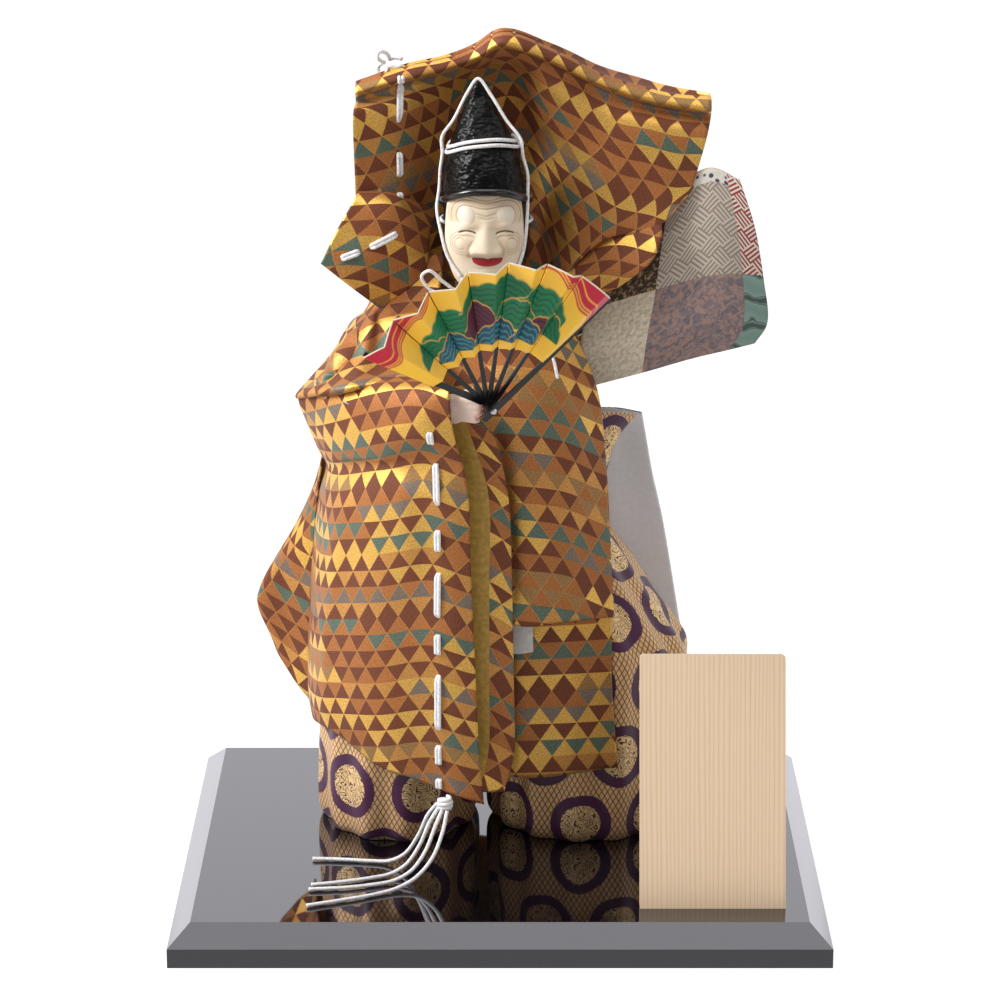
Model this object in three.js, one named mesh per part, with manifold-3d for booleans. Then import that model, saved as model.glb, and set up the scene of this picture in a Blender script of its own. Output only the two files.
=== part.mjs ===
// Noh doll: a dancer with an old man's mask and an open folding fan, in brocade robes,
// on a black lacquered base board with a bare wooden name board.
// Millimetres, +Z up, the front faces -Y, origin at the middle of the base board's underside.

import * as THREE from 'three';
import { mergeVertices } from 'three/addons/utils/BufferGeometryUtils.js';
import Module from 'manifold-3d';

const wasm = await Module();
wasm.setup();

// Clearances between neighbours
const GAP = 0.3;
const MASK_GAP = 0.6;

// Base board
const BASE_WIDTH = 330;
const BASE_DEPTH = 270;
const BASE_THICKNESS = 20;
const BASE_RIM_HEIGHT = 10;
const BASE_CHAMFER_RUN = 11;

// Name board with a tenon in the base
const BOARD_WIDTH = 73;
const BOARD_HEIGHT = 127.5;
const BOARD_THICKNESS = 8;
const BOARD_CORNER = 2;
const BOARD_LEAN_DEG = 16;
const BOARD_SIDE_INSET = 58.3;
const BOARD_FRONT_INSET = 28;
const BOARD_X = BASE_WIDTH / 2 - BOARD_SIDE_INSET;
const BOARD_Y = BOARD_FRONT_INSET - BASE_DEPTH / 2;
const TENON_WIDTH = 50;
const TENON_THICKNESS = 5;
const TENON_DEPTH = 8;

// Where the figure stands on the base
const FIGURE_Y = 35;

// Wooden body
const POST_RADIUS = 7;
const POST_SOCKET = 12;
const POST_REACH = 28;
const POST_FOOT_LEFT = -50;
const POST_FOOT_RIGHT = 42;
const POST_HIP_X = 29;
const CORE_BOTTOM = 159;
const CORE_TOP = 286;
const ARM_WIRE_RADIUS = 2.5;
const ARM_SHOULDER_DEPTH = 14;

// Head, mask and cap
const NECK_X = -7;
const NECK_Y = -18;
const NECK_RADIUS = 8;
const PEG_RADIUS = 4;
const PEG_DEPTH = 24;
const HEAD_HALF_WIDTH = 22;
const HEAD_HALF_DEPTH = 21;
const HEAD_HALF_HEIGHT = 28;
const HEAD_FORWARD = 4;
const HEAD_RISE = 37;
const MASK_THICKNESS = 2.4;
const MASK_SWEEP_DEG = 55;
const MASK_TOP_DEG = 58;
const MASK_BOTTOM_DEG = -62;
const CAP_RISE = 59;
const CAP_HEIGHT = 51;
const CAP_HALF_WIDTH = 22.5;
const CAP_HALF_DEPTH = 24;
const CAP_BACK_DROP = 12;
const CAP_BAND_RISE = 25;
const CAP_BAND_PITCH = 2.8;

// Cloth and cords
const ROBE_CLOTH = 1.8;
const INNER_CLOTH = 2;
const ROBE_COLLAR_THICKNESS = 2.4;
const LINING_CLOTH = 1.2;
const CORD_RADIUS = 1;
const CORD_SIDES = 8;
const TRIM_SIDES = 6;
const SLEEVE_CORD_RADIUS = 1.4;
const KNOT_RADIUS = 4.4;

// Folding fan
const FAN_PIVOT = [-6, -101, 250];
const FAN_RADIUS = 80;
const FAN_LEAF_INNER = 34;
const FAN_OPEN_DEG = 108.5;
const FAN_TILT_DEG = 41.4;
const FAN_ROLL_DEG = 44;
const FAN_VIEW_DEG = 15;
const RIB_COUNT = 8;
const RIB_WIDTH = 2.7;
const RIB_TIP_WIDTH = 1.1;
const GUARD_WIDTH = 3.8;
const GUARD_TIP_WIDTH = 2.2;
const RIB_THICKNESS = 0.7;
const RIB_PITCH = 1;
const GUARD_STEP = 2;
const RIB_TAIL = 5;
const RIB_SHORTER = 3;
const RIVET_RADIUS = 1;
const RIVET_HEAD_RADIUS = 1.7;
const RIVET_HEAD_HEIGHT = 0.6;
const LEAF_THICKNESS = 0.35;
const LEAF_PLEAT = 3;

const DEG = Math.PI / 180;

// Finishes
const LACQUER = { color: 0x0b0a0b, roughness: 0.08, metalness: 0 };
const PALE_WOOD = { color: 0xe3c08c, roughness: 0.6, metalness: 0 };
const CORE_WOOD = { color: 0xb08a5a, roughness: 0.8, metalness: 0 };
const WIRE = { color: 0x8a8a8a, roughness: 0.5, metalness: 1 };
const SKIN = { color: 0xe9cdb4, roughness: 0.5, metalness: 0 };
const HAIR = { color: 0x0d0c0c, roughness: 0.6, metalness: 0 };
const MASK_WHITE = { color: 0xe9e1d4, roughness: 0.45, metalness: 0 };
const CAP_BLACK = { color: 0x121112, roughness: 0.3, metalness: 0 };
const CORD_WHITE = { color: 0xefece4, roughness: 0.8, metalness: 0 };
const ROBE_BROCADE = { color: 0x8a5a2a, roughness: 0.6, metalness: 0.2 };
const ROBE_LINING = { color: 0x7d6a2c, roughness: 0.7, metalness: 0 };
const HAKAMA_BROCADE = { color: 0xb39a6a, roughness: 0.6, metalness: 0.2 };
const HAKAMA_LINING = { color: 0xb9b6c0, roughness: 0.8, metalness: 0 };
const INNER_BROCADE = { color: 0xb0a080, roughness: 0.7, metalness: 0.1 };
const BELT_CLOTH = { color: 0xc9c9c2, roughness: 0.8, metalness: 0 };
const FAN_LACQUER = { color: 0x141010, roughness: 0.25, metalness: 0 };
const FAN_PAPER = { color: 0xc79a3a, roughness: 0.5, metalness: 0.3 };
const SILVER = { color: 0xc8c8c8, roughness: 0.3, metalness: 1 };

// Solids and meshes

/** Closed solid of a three.js geometry. */
function solidOf(geometry) {
  const bare = geometry.index ? geometry.toNonIndexed() : geometry.clone();
  for (const name of Object.keys(bare.attributes)) {
    if (name !== 'position') bare.deleteAttribute(name);
  }
  const merged = mergeVertices(bare, 1e-4);
  const triVerts = Uint32Array.from(merged.index.array);
  const vertProperties = Float32Array.from(merged.attributes.position.array);
  return new wasm.Manifold(new wasm.Mesh({ numProp: 3, vertProperties, triVerts }));
}

/** Geometry of a solid, with flat faces. */
function geometryOf(solid) {
  const mesh = solid.getMesh();
  const geometry = new THREE.BufferGeometry();
  geometry.setAttribute('position', new THREE.BufferAttribute(Float32Array.from(mesh.vertProperties), 3));
  geometry.setIndex(Array.from(mesh.triVerts));
  return geometry;
}

/** The largest body that is left after cutting the tools out of a solid. */
function cutBy(solid, ...tools) {
  let rest = solid;
  for (const tool of tools) rest = rest.subtract(tool);
  const bodies = rest.decompose();
  return bodies.reduce((best, body) => (body.volume() > best.volume() ? body : best));
}

/** Named mesh of a solid or geometry, with its own material. */
function piece(name, shape, finish) {
  const geometry = shape.isBufferGeometry ? shape : geometryOf(shape);
  const mesh = new THREE.Mesh(geometry, new THREE.MeshStandardMaterial(finish));
  mesh.name = name;
  return mesh;
}

const point = ([x, y, z]) => new THREE.Vector3(x, y, z);
const mix = (a, b, t) => a + (b - a) * t;
const bump = (x, middle, width) => Math.exp(-(((x - middle) / width) ** 2));

// Shape makers

/** Closed geometry of vertices and triangles given as lists. */
function meshFrom(vertices, triangles) {
  const geometry = new THREE.BufferGeometry();
  const flat = vertices.flatMap((vertex) => [vertex.x, vertex.y, vertex.z]);
  geometry.setAttribute('position', new THREE.BufferAttribute(new Float32Array(flat), 3));
  geometry.setIndex(triangles.flat());
  return geometry;
}

/** Closed skin between two grids of points, the outer one facing out. */
function skinBetween(outer, inner) {
  const rows = outer.length;
  const columns = outer[0].length;
  const vertices = [...outer.flat(), ...inner.flat()];
  const front = (row, column) => row * columns + column;
  const back = (row, column) => rows * columns + front(row, column);
  const triangles = [];
  const quad = (a, b, c, d) => triangles.push([a, b, c], [a, c, d]);
  for (let row = 0; row < rows - 1; row += 1) {
    for (let column = 0; column < columns - 1; column += 1) {
      const next = column + 1;
      quad(front(row, column), front(row + 1, column), front(row + 1, next), front(row, next));
      quad(back(row, column), back(row, next), back(row + 1, next), back(row + 1, column));
    }
    quad(front(row, 0), back(row, 0), back(row + 1, 0), front(row + 1, 0));
    const last = columns - 1;
    quad(front(row, last), front(row + 1, last), back(row + 1, last), back(row, last));
  }
  for (let column = 0; column < columns - 1; column += 1) {
    const next = column + 1;
    const last = rows - 1;
    quad(front(0, column), front(0, next), back(0, next), back(0, column));
    quad(front(last, column), back(last, column), back(last, next), front(last, next));
  }
  return meshFrom(vertices, triangles);
}

/** Loft through closed rings of equal count, turning counterclockwise from above, listed upwards. */
function loft(rings) {
  const count = rings[0].length;
  const vertices = rings.flat();
  const triangles = [];
  for (let ring = 0; ring < rings.length - 1; ring += 1) {
    for (let side = 0; side < count; side += 1) {
      const next = (side + 1) % count;
      const [a, b] = [ring * count + side, ring * count + next];
      triangles.push([a, b, b + count], [a, b + count, a + count]);
    }
  }
  const middle = (ring) => ring.reduce((sum, p) => sum.add(p), new THREE.Vector3()).divideScalar(count);
  const [bottom, top] = [vertices.length, vertices.length + 1];
  vertices.push(middle(rings[0]), middle(rings.at(-1)));
  const start = (rings.length - 1) * count;
  for (let side = 0; side < count; side += 1) {
    const next = (side + 1) % count;
    triangles.push([bottom, next, side], [top, start + side, start + next]);
  }
  return meshFrom(vertices, triangles);
}

/** Ring of points on an ellipse in a level plane; ripple gives the radius factor at an angle. */
function levelRing({ x, y, z, halfWidth, halfDepth, sides, ripple = () => 1 }) {
  return Array.from({ length: sides }, (_, side) => {
    const angle = (side / sides) * 2 * Math.PI;
    const factor = ripple(angle);
    const px = x + halfWidth * factor * Math.cos(angle);
    return new THREE.Vector3(px, y + halfDepth * factor * Math.sin(angle), z);
  });
}

/** Round bar along a curve through points. */
function tube(points, radius, steps, sides = CORD_SIDES) {
  const section = new THREE.Shape().absarc(0, 0, radius, 0, 2 * Math.PI);
  const extrudePath = new THREE.CatmullRomCurve3(points.map(point));
  const curveSegments = sides / 2;
  return new THREE.ExtrudeGeometry(section, { steps, extrudePath, curveSegments, bevelEnabled: false });
}

/** Capsule between two points. */
function capsule(from, to, radius) {
  const [a, b] = [point(from), point(to)];
  const along = b.clone().sub(a);
  const geometry = new THREE.CapsuleGeometry(radius, along.length(), 2, 7);
  const turn = new THREE.Quaternion().setFromUnitVectors(new THREE.Vector3(0, 1, 0), along.normalize());
  geometry.applyQuaternion(turn);
  return geometry.translate((from[0] + to[0]) / 2, (from[1] + to[1]) / 2, (from[2] + to[2]) / 2);
}

/** Ellipsoid at a point. */
function ellipsoid(centre, radii, sides = 12) {
  const geometry = new THREE.SphereGeometry(1, sides, sides / 2);
  return geometry.scale(...radii).translate(...centre);
}

// Cloth

/** Smooth surface through a net of points, rows from top to bottom, columns from left to right. */
class Drape {
  constructor(net, columns, rows, fold = () => 0) {
    this.curves = net.map((row) => new THREE.CatmullRomCurve3(row.map(point)));
    this.columns = columns;
    this.rows = rows;
    this.fold = fold;
  }

  bare(u, v) {
    const across = this.curves.map((row) => row.getPoint(u));
    return new THREE.CatmullRomCurve3(across).getPoint(v);
  }

  normal(u, v) {
    const step = 0.01;
    const [left, right] = [Math.max(u - step, 0), Math.min(u + step, 1)];
    const [up, down] = [Math.max(v - step, 0), Math.min(v + step, 1)];
    const across = this.bare(right, v).sub(this.bare(left, v));
    const along = this.bare(u, down).sub(this.bare(u, up));
    return along.cross(across).normalize();
  }

  at(u, v, lift = 0) {
    return this.bare(u, v).addScaledVector(this.normal(u, v), lift + this.fold(u, v));
  }

  /** Grid of points lifted off the surface, with its border pushed out by spread. */
  grid(lift, spread = 0) {
    const { columns, rows } = this;
    const cells = Array.from({ length: rows + 1 }, (_, row) => (
      Array.from({ length: columns + 1 }, (_unused, column) => this.at(column / columns, row / rows, lift))
    ));
    if (spread === 0) return cells;
    const pushed = (edge, inside) => edge.addScaledVector(edge.clone().sub(inside).normalize(), spread);
    for (const row of cells) {
      pushed(row[0], row[1]);
      pushed(row[columns], row[columns - 1]);
    }
    for (let column = 0; column <= columns; column += 1) {
      pushed(cells[0][column], cells[1][column]);
      pushed(cells[rows][column], cells[rows - 1][column]);
    }
    return cells;
  }

  /** Cloth of even thickness about the surface, larger all round by grow. */
  sheet(thickness, grow = 0) {
    const half = thickness / 2 + grow;
    return solidOf(skinBetween(this.grid(half, grow), this.grid(-half, grow)));
  }

  /** Stuffed bag behind the surface, as deep as depth says, larger all round by grow. */
  bag(depth, grow = 0) {
    const outer = this.grid(grow, grow);
    const inner = this.grid(grow, grow);
    inner.forEach((row, rowIndex) => row.forEach((vertex, columnIndex) => {
      vertex.y += depth(columnIndex / this.columns, rowIndex / this.rows) + 2 * grow;
    }));
    return solidOf(skinBetween(outer, inner));
  }
}

/** Depth of a pillow that is shallow at its border and deepest in the middle. */
function pillow(border, middle) {
  return (u, v) => mix(border, middle, Math.sqrt(Math.sin(Math.PI * u) * Math.sin(Math.PI * v)));
}

/** Upright folds that grow from the top of a drape to its hem. */
function hangingFolds(count, depth, phase = 0) {
  return (u, v) => depth * v * Math.sin(2 * Math.PI * count * u + phase);
}

// Base board and name board

/** Rectangle of four corners, counterclockwise from above. */
function rectangle(width, depth, z) {
  const [x, y] = [width / 2, depth / 2];
  return [[-x, -y, z], [x, -y, z], [x, y, z], [-x, y, z]].map(point);
}

/** Post between the base socket and the body core, larger all round by grow. */
function legPost(footX, hipX, grow = 0) {
  const from = new THREE.Vector3(footX, 0, -POST_SOCKET - grow);
  const to = new THREE.Vector3(hipX, 0, CORE_BOTTOM + POST_REACH + grow);
  const ring = (centre) => levelRing({
    x: centre.x, y: 0, z: centre.z, halfWidth: POST_RADIUS + grow, halfDepth: POST_RADIUS + grow, sides: 14,
  });
  return solidOf(loft([ring(from), ring(to)]));
}

/** Tenon under the leaning name board, larger all round by grow; y 0 and z 0 are its front edge. */
function boardTenon(grow = 0) {
  const [width, thickness, height] = [TENON_WIDTH, TENON_THICKNESS, 2 * TENON_DEPTH].map((side) => side + 2 * grow);
  const tenon = new THREE.BoxGeometry(width, thickness, height);
  return tenon.translate(0, BOARD_THICKNESS / 2, 0).rotateX(-BOARD_LEAN_DEG * DEG);
}

function makeBase() {
  const top = [BASE_WIDTH - 2 * BASE_CHAMFER_RUN, BASE_DEPTH - 2 * BASE_CHAMFER_RUN];
  const board = solidOf(loft([
    rectangle(BASE_WIDTH, BASE_DEPTH, 0),
    rectangle(BASE_WIDTH, BASE_DEPTH, BASE_RIM_HEIGHT),
    rectangle(...top, BASE_THICKNESS),
  ]));
  const mortise = boardTenon(GAP).translate(BOARD_X, BOARD_Y, BASE_THICKNESS);
  const sockets = [
    legPost(POST_FOOT_LEFT, -POST_HIP_X, GAP),
    legPost(POST_FOOT_RIGHT, POST_HIP_X, GAP),
  ].map((post) => post.translate([0, FIGURE_Y, BASE_THICKNESS]));
  return piece('base_board', cutBy(board, solidOf(mortise), ...sockets), LACQUER);
}

function makeNameBoard() {
  const half = BOARD_WIDTH / 2;
  const face = new THREE.Shape();
  face.moveTo(-half, 0);
  face.lineTo(half, 0);
  face.lineTo(half, BOARD_HEIGHT - BOARD_CORNER);
  face.absarc(half - BOARD_CORNER, BOARD_HEIGHT - BOARD_CORNER, BOARD_CORNER, 0, Math.PI / 2);
  face.lineTo(BOARD_CORNER - half, BOARD_HEIGHT);
  face.absarc(BOARD_CORNER - half, BOARD_HEIGHT - BOARD_CORNER, BOARD_CORNER, Math.PI / 2, Math.PI);
  face.closePath();
  const planing = { depth: BOARD_THICKNESS, bevelEnabled: false, curveSegments: 6 };
  const plank = new THREE.ExtrudeGeometry(face, planing);
  plank.rotateX(Math.PI / 2).translate(0, BOARD_THICKNESS, 0).rotateX(-BOARD_LEAN_DEG * DEG);
  const underBase = new THREE.BoxGeometry(2 * BOARD_WIDTH, 4 * BOARD_THICKNESS, 2 * TENON_DEPTH);
  underBase.translate(0, 0, -TENON_DEPTH);
  const standing = cutBy(solidOf(plank), solidOf(underBase));
  const board = piece('name_board', standing.add(solidOf(boardTenon())), PALE_WOOD);
  board.position.set(BOARD_X, BOARD_Y, BASE_THICKNESS);
  return board;
}

// Wooden body under the robes, in the figure's frame: z 0 is the top of the base board

/** Body core from hips to neck, larger all round by grow. */
function bodyCore(grow = 0) {
  const sections = [
    [CORE_BOTTOM - grow, 0, -4, 44, 30],
    [CORE_BOTTOM + 16, -2, -4, 38, 28],
    [mix(CORE_BOTTOM, CORE_TOP, 0.45), -7, -5, 40, 27],
    [mix(CORE_BOTTOM, CORE_TOP, 0.76), -10, -6, 46, 25],
    [mix(CORE_BOTTOM, CORE_TOP, 0.9), -9, -9, 40, 20],
    [CORE_TOP + grow, NECK_X, NECK_Y + 4, 15, 14],
  ];
  const rings = sections.map(([z, x, y, halfWidth, halfDepth]) => levelRing({
    x, y, z, halfWidth: halfWidth + grow, halfDepth: halfDepth + grow, sides: 16,
  }));
  return solidOf(loft(rings));
}

/** Wire of an arm, thicker by grow. */
function armWire(route, grow = 0) {
  return solidOf(tube(route, ARM_WIRE_RADIUS + grow, 16, TRIM_SIDES));
}

const RIGHT_ARM_ROUTE = [
  [-54 + ARM_SHOULDER_DEPTH, -6, 262], [-54, -8, 262], [-74, -18, 258], [-90, -36, 244],
  [-76, -60, 241], [-52, -80, 242], [-33, -95, 245],
];
const LEFT_ARM_ROUTE = [
  [34 - ARM_SHOULDER_DEPTH, -4, 258], [34, -2, 260], [62, 6, 276], [92, 12, 300], [95, 16, 326],
  [71, 17, 352],
];
const RIGHT_PALM = [-31, -99, 246];
const LEFT_PALM = [66, 17, 358];
const LEFT_POCKET = { centre: [60, 15.2, 361], radii: [20, 11, 16.5] };
const PALM_RADII = [8.5, 5, 8.5];
const FINGER_RADIUS = 2.1;
const FINGER_PITCH = 4;

/** Half closed hand: palm, four fingers and a thumb; side -1 mirrors it. */
function hand([x, y, z], side) {
  const place = ([dx, dy, dz]) => [x + side * dx, y + dy, z + dz];
  let solid = solidOf(ellipsoid([x, y, z], PALM_RADII));
  for (let finger = 0; finger < 4; finger += 1) {
    const rise = 7.4 - finger * FINGER_PITCH;
    const reach = 17.5 - 0.9 * (finger - 1) ** 2;
    const knuckle = place([5, -3, rise * 0.8]);
    const tip = place([reach, -6.5, rise]);
    solid = solid.add(solidOf(capsule(knuckle, tip, FINGER_RADIUS)));
  }
  return solid.add(solidOf(capsule(place([2, 0, 4]), place([12, -4.5, 12]), FINGER_RADIUS)));
}

// Head, mask, cap and their cords, in the head's frame: the origin is where the neck meets the core

/** Direction on the head: azimuth 0 faces the front, polar 90 is the crown. */
function headPoint(azimuth, polar, grow) {
  const level = Math.cos(polar) ** 0.4;
  const x = (HEAD_HALF_WIDTH + grow) * level * Math.sin(azimuth);
  const y = -HEAD_FORWARD - (HEAD_HALF_DEPTH + grow) * level * Math.cos(azimuth);
  return new THREE.Vector3(x, y, HEAD_RISE + (HEAD_HALF_HEIGHT + grow) * Math.sin(polar));
}

/** Head with hair, without its neck, larger all round by grow. */
function skull(grow = 0) {
  const polars = [-72, -45, -15, 15, 42, 62, 76];
  const sides = 20;
  const rings = polars.map((polar) => Array.from({ length: sides }, (_, side) => (
    headPoint((side / sides) * 2 * Math.PI, polar * DEG, grow)
  )));
  return solidOf(loft(rings));
}

function headSolid() {
  const neck = new THREE.CylinderGeometry(NECK_RADIUS, NECK_RADIUS, HEAD_RISE, 20);
  neck.rotateX(Math.PI / 2).translate(0, 0, HEAD_RISE / 2 + GAP);
  const pegLength = PEG_DEPTH + HEAD_RISE / 2;
  const peg = new THREE.CylinderGeometry(PEG_RADIUS, PEG_RADIUS, pegLength, 16);
  peg.rotateX(Math.PI / 2).translate(0, 0, pegLength / 2 - PEG_DEPTH);
  return skull().add(solidOf(neck)).add(solidOf(peg));
}

/** How far the carved face stands out of the plain mask; across and down run from -1 to 1. */
function maskRelief(across, down) {
  const side = Math.abs(across);
  const nose = 4.6 * bump(across, 0, 0.2) * bump(down, 0.18, 0.3);
  const nostrils = 2 * bump(side, 0.2, 0.12) * bump(down, 0.32, 0.12);
  const brow = 2 * bump(side, 0.42, 0.22) * bump(down, -0.38, 0.14);
  const eye = -1.2 * bump(side, 0.46, 0.22) * bump(down, -0.1, 0.09);
  const cheek = 2.4 * bump(side, 0.55, 0.28) * bump(down, 0.22, 0.26);
  const mouth = -1.6 * bump(across, 0, 0.5) * bump(down, 0.6, 0.07);
  const chin = 2 * bump(across, 0, 0.4) * bump(down, 0.86, 0.16);
  return nose + nostrils + brow + eye + cheek + mouth + chin;
}

function maskSolid() {
  const [columns, rows] = [14, 14];
  const surface = (depth, carved) => Array.from({ length: rows + 1 }, (_, row) => (
    Array.from({ length: columns + 1 }, (_unused, column) => {
      const across = (2 * column) / columns - 1;
      const down = (2 * row) / rows - 1;
      const polar = mix(MASK_TOP_DEG, MASK_BOTTOM_DEG, row / rows) * DEG;
      const narrowing = 1 - 0.22 * Math.max(down, 0) ** 2;
      const azimuth = across * MASK_SWEEP_DEG * narrowing * DEG;
      return headPoint(azimuth, polar, depth + (carved ? maskRelief(across, down) : 0));
    })
  ));
  return solidOf(skinBetween(surface(MASK_GAP + MASK_THICKNESS, true), surface(MASK_GAP, false)));
}

/** Half width and half depth of the cap, and its lean, at a share of its height. */
function capSection(share) {
  const narrow = Math.cos((share * Math.PI) / 2);
  return {
    halfWidth: 1.2 + (CAP_HALF_WIDTH - 1.2) * narrow,
    halfDepth: 1.2 + (CAP_HALF_DEPTH - 1.2) * narrow ** 1.5,
    x: -4 * share,
    y: -HEAD_FORWARD + 4 * share,
  };
}

/** Height of the cap above the head's frame at a share of its height and a depth towards the back. */
function capHeight(share, towardsBack) {
  return CAP_RISE + CAP_HEIGHT * share - CAP_BACK_DROP * (1 - share) * Math.max(towardsBack, 0);
}

function capSolid() {
  const sides = 18;
  const rings = [0, 0.2, 0.4, 0.6, 0.78, 0.92, 1].map((share) => {
    const section = capSection(share);
    const ring = levelRing({ ...section, z: 0, sides });
    ring.forEach((vertex) => {
      const towardsBack = (vertex.y - section.y) / section.halfDepth;
      vertex.z = capHeight(share, towardsBack);
    });
    return ring;
  });
  return cutBy(solidOf(loft(rings)), skull(MASK_GAP));
}

/** Band cord round the cap at a rise above its rim. */
function capBand(rise) {
  const section = capSection(rise / CAP_HEIGHT);
  const stand = CORD_RADIUS + GAP;
  const sides = 20;
  const ring = new THREE.TorusGeometry(1, 0.001, TRIM_SIDES, sides);
  const place = ring.attributes.position;
  for (let index = 0; index < place.count; index += 1) {
    const around = Math.atan2(place.getY(index), place.getX(index));
    const outward = Math.hypot(place.getX(index), place.getY(index)) - 1;
    const halfWidth = section.halfWidth + stand + outward * 1000 * CORD_RADIUS;
    const halfDepth = section.halfDepth + stand + outward * 1000 * CORD_RADIUS;
    const towardsBack = Math.sin(around);
    const level = capHeight(rise / CAP_HEIGHT, towardsBack);
    place.setXYZ(
      index,
      section.x + halfWidth * Math.cos(around),
      section.y + halfDepth * Math.sin(around),
      level + place.getZ(index) * 1000 * CORD_RADIUS,
    );
  }
  return ring;
}

/** Point beside the cap's rim-to-tip edge, on one side, standing off by lift. */
function capEdge(share, side, lift) {
  const section = capSection(share);
  return [section.x + side * (section.halfWidth + lift), section.y, capHeight(share, 0)];
}

/** Point beside the head at a polar angle, on one side, standing off by lift. */
function headSide(polar, side, lift, forward = 0) {
  const vertex = headPoint(side * (90 - forward) * DEG, polar * DEG, lift);
  return [vertex.x, vertex.y, vertex.z];
}

const CORD_OVER = 3 * CORD_RADIUS + 4 * GAP;
const CHIN_POLAR = -44;
const CHIN_FORWARD = 34;

function capEdgeCord(grow = 0) {
  const clear = CORD_RADIUS + 2 * GAP;
  const bandShare = CAP_BAND_RISE / CAP_HEIGHT;
  const side = (sign) => [
    headSide(CHIN_POLAR, sign, CORD_OVER, CHIN_FORWARD),
    headSide(CHIN_POLAR / 2, sign, CORD_OVER, CHIN_FORWARD / 2),
    headSide(10, sign, CORD_OVER, 4), headSide(35, sign, CORD_OVER + 1.2, 2), capEdge(0.06, sign, clear + 1),
    capEdge(bandShare - 0.16, sign, clear), capEdge(bandShare, sign, CORD_OVER),
    capEdge(bandShare + 0.18, sign, clear), capEdge(0.9, sign, clear),
  ];
  const tip = [[capSection(1).x, capSection(1).y, CAP_RISE + CAP_HEIGHT + clear + 0.6]];
  return tube([...side(-1), ...tip, ...side(1).reverse()], CORD_RADIUS + grow, 32, TRIM_SIDES);
}

function maskCord() {
  const clear = CORD_RADIUS + GAP;
  const stops = [62, 90, 125, 160, 180, 200, 235, 270, 298];
  const route = stops.map((azimuth) => {
    const vertex = headPoint(azimuth * DEG, 8 * DEG, clear);
    return [vertex.x, vertex.y, vertex.z];
  });
  return tube(route, CORD_RADIUS, 18, TRIM_SIDES);
}

const CHIN_BOW_ROUTE = [
  [0, 0, 0], [1.3, -1.4, -2.6], [-2, -6, -5], [-9, -9, 0], [-16, -10, 6], [-20, -9, 3], [-16, -8, -4],
  [-7, -8, -8], [-6, -9, -14], [-11, -9.5, -19],
];
const CHIN_TAIL_ROUTE = [
  [0, 0, 0], [-1.3, -1.4, -2.6], [2, -6, -9], [9, -12, -18], [16, -17, -28], [20, -20.5, -38],
  [22, -21.5, -47],
];

/** Cord that goes on from an end of the cap's edge cord, with a fine gap between the two ends. */
function chinCord(route, sign, steps, sides) {
  const end = point(headSide(CHIN_POLAR, sign, CORD_OVER, CHIN_FORWARD));
  const before = point(headSide(CHIN_POLAR / 2, sign, CORD_OVER, CHIN_FORWARD / 2));
  const start = end.addScaledVector(end.clone().sub(before).normalize(), GAP);
  return tube(route.map(([x, y, z]) => [start.x + x, start.y + y, start.z + z]), CORD_RADIUS, steps, sides);
}

function makeHead() {
  const group = new THREE.Group();
  group.position.set(NECK_X, NECK_Y, CORE_TOP);
  const head = headSolid();
  const mask = maskSolid();
  const cap = cutBy(capSolid(), mask, solidOf(capEdgeCord(GAP)));
  group.add(piece('head', head, HAIR));
  group.add(piece('mask', mask, MASK_WHITE));
  group.add(piece('cap', cap, CAP_BLACK));
  group.add(piece('cap_band_lower', capBand(CAP_BAND_RISE - CAP_BAND_PITCH / 2), CORD_WHITE));
  group.add(piece('cap_band_upper', capBand(CAP_BAND_RISE + CAP_BAND_PITCH / 2), CORD_WHITE));
  group.add(piece('cap_edge_cord', capEdgeCord(), CORD_WHITE));
  group.add(piece('mask_cord', maskCord(), CORD_WHITE));
  group.add(piece('chin_bow', chinCord(CHIN_BOW_ROUTE, -1, 22, TRIM_SIDES), CORD_WHITE));
  group.add(piece('chin_cord_tail', chinCord(CHIN_TAIL_ROUTE, 1, 13, CORD_SIDES), CORD_WHITE));
  return group;
}

// Hakama, belt and inner robe

/** Stuffed trouser leg with soft pleats; sections list z, x, y, half width and half depth. */
function trouserLeg(sections, pleats, grow = 0) {
  const pleat = (angle) => 1 + 0.03 * Math.sin(pleats * angle);
  const rings = sections.map(([z, x, y, halfWidth, halfDepth], index) => levelRing({
    x,
    y,
    z: z + (index === sections.length - 1 ? grow : 0),
    halfWidth: halfWidth + grow,
    halfDepth: halfDepth + grow,
    sides: 30,
    ripple: pleat,
  }));
  return solidOf(loft(rings));
}

const LEG_TOP = CORE_BOTTOM - GAP;
const LEFT_LEG_PLEATS = 12;
const RIGHT_LEG_PLEATS = 14;
const LEFT_LEG_SECTIONS = [
  [0, -62, -4, 29, 46], [7, -62, -4, 34, 51.5], [24, -62, -4, 34.5, 52.5], [58, -60, -4, 33, 51],
  [90, -52, -4, 31, 49], [122, -40, -4, 28, 46], [LEG_TOP, -29, -4, 24, 41],
];
const RIGHT_LEG_SECTIONS = [
  [0, 50, -4, 40, 46], [7, 50, -4, 45, 51.5], [24, 50, -4, 47, 52.5], [58, 50, -4, 46.5, 51],
  [86, 49, -4, 48, 50], [110, 43, -4, 39, 47], [134, 36, -4, 31, 44], [LEG_TOP, 29, -4, 24, 41],
];
const HIP_PANEL_NET = [
  [[50, 4, 218], [62, 12, 216], [74, 22, 212]],
  [[51, -4, 193], [60, 4, 194], [67, 13, 200]],
  [[50, -16, 168], [56, -8, 172], [60, 2, 178]],
  [[44, -24, 148], [52, -16, 150], [58, -6, 154]],
];
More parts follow.
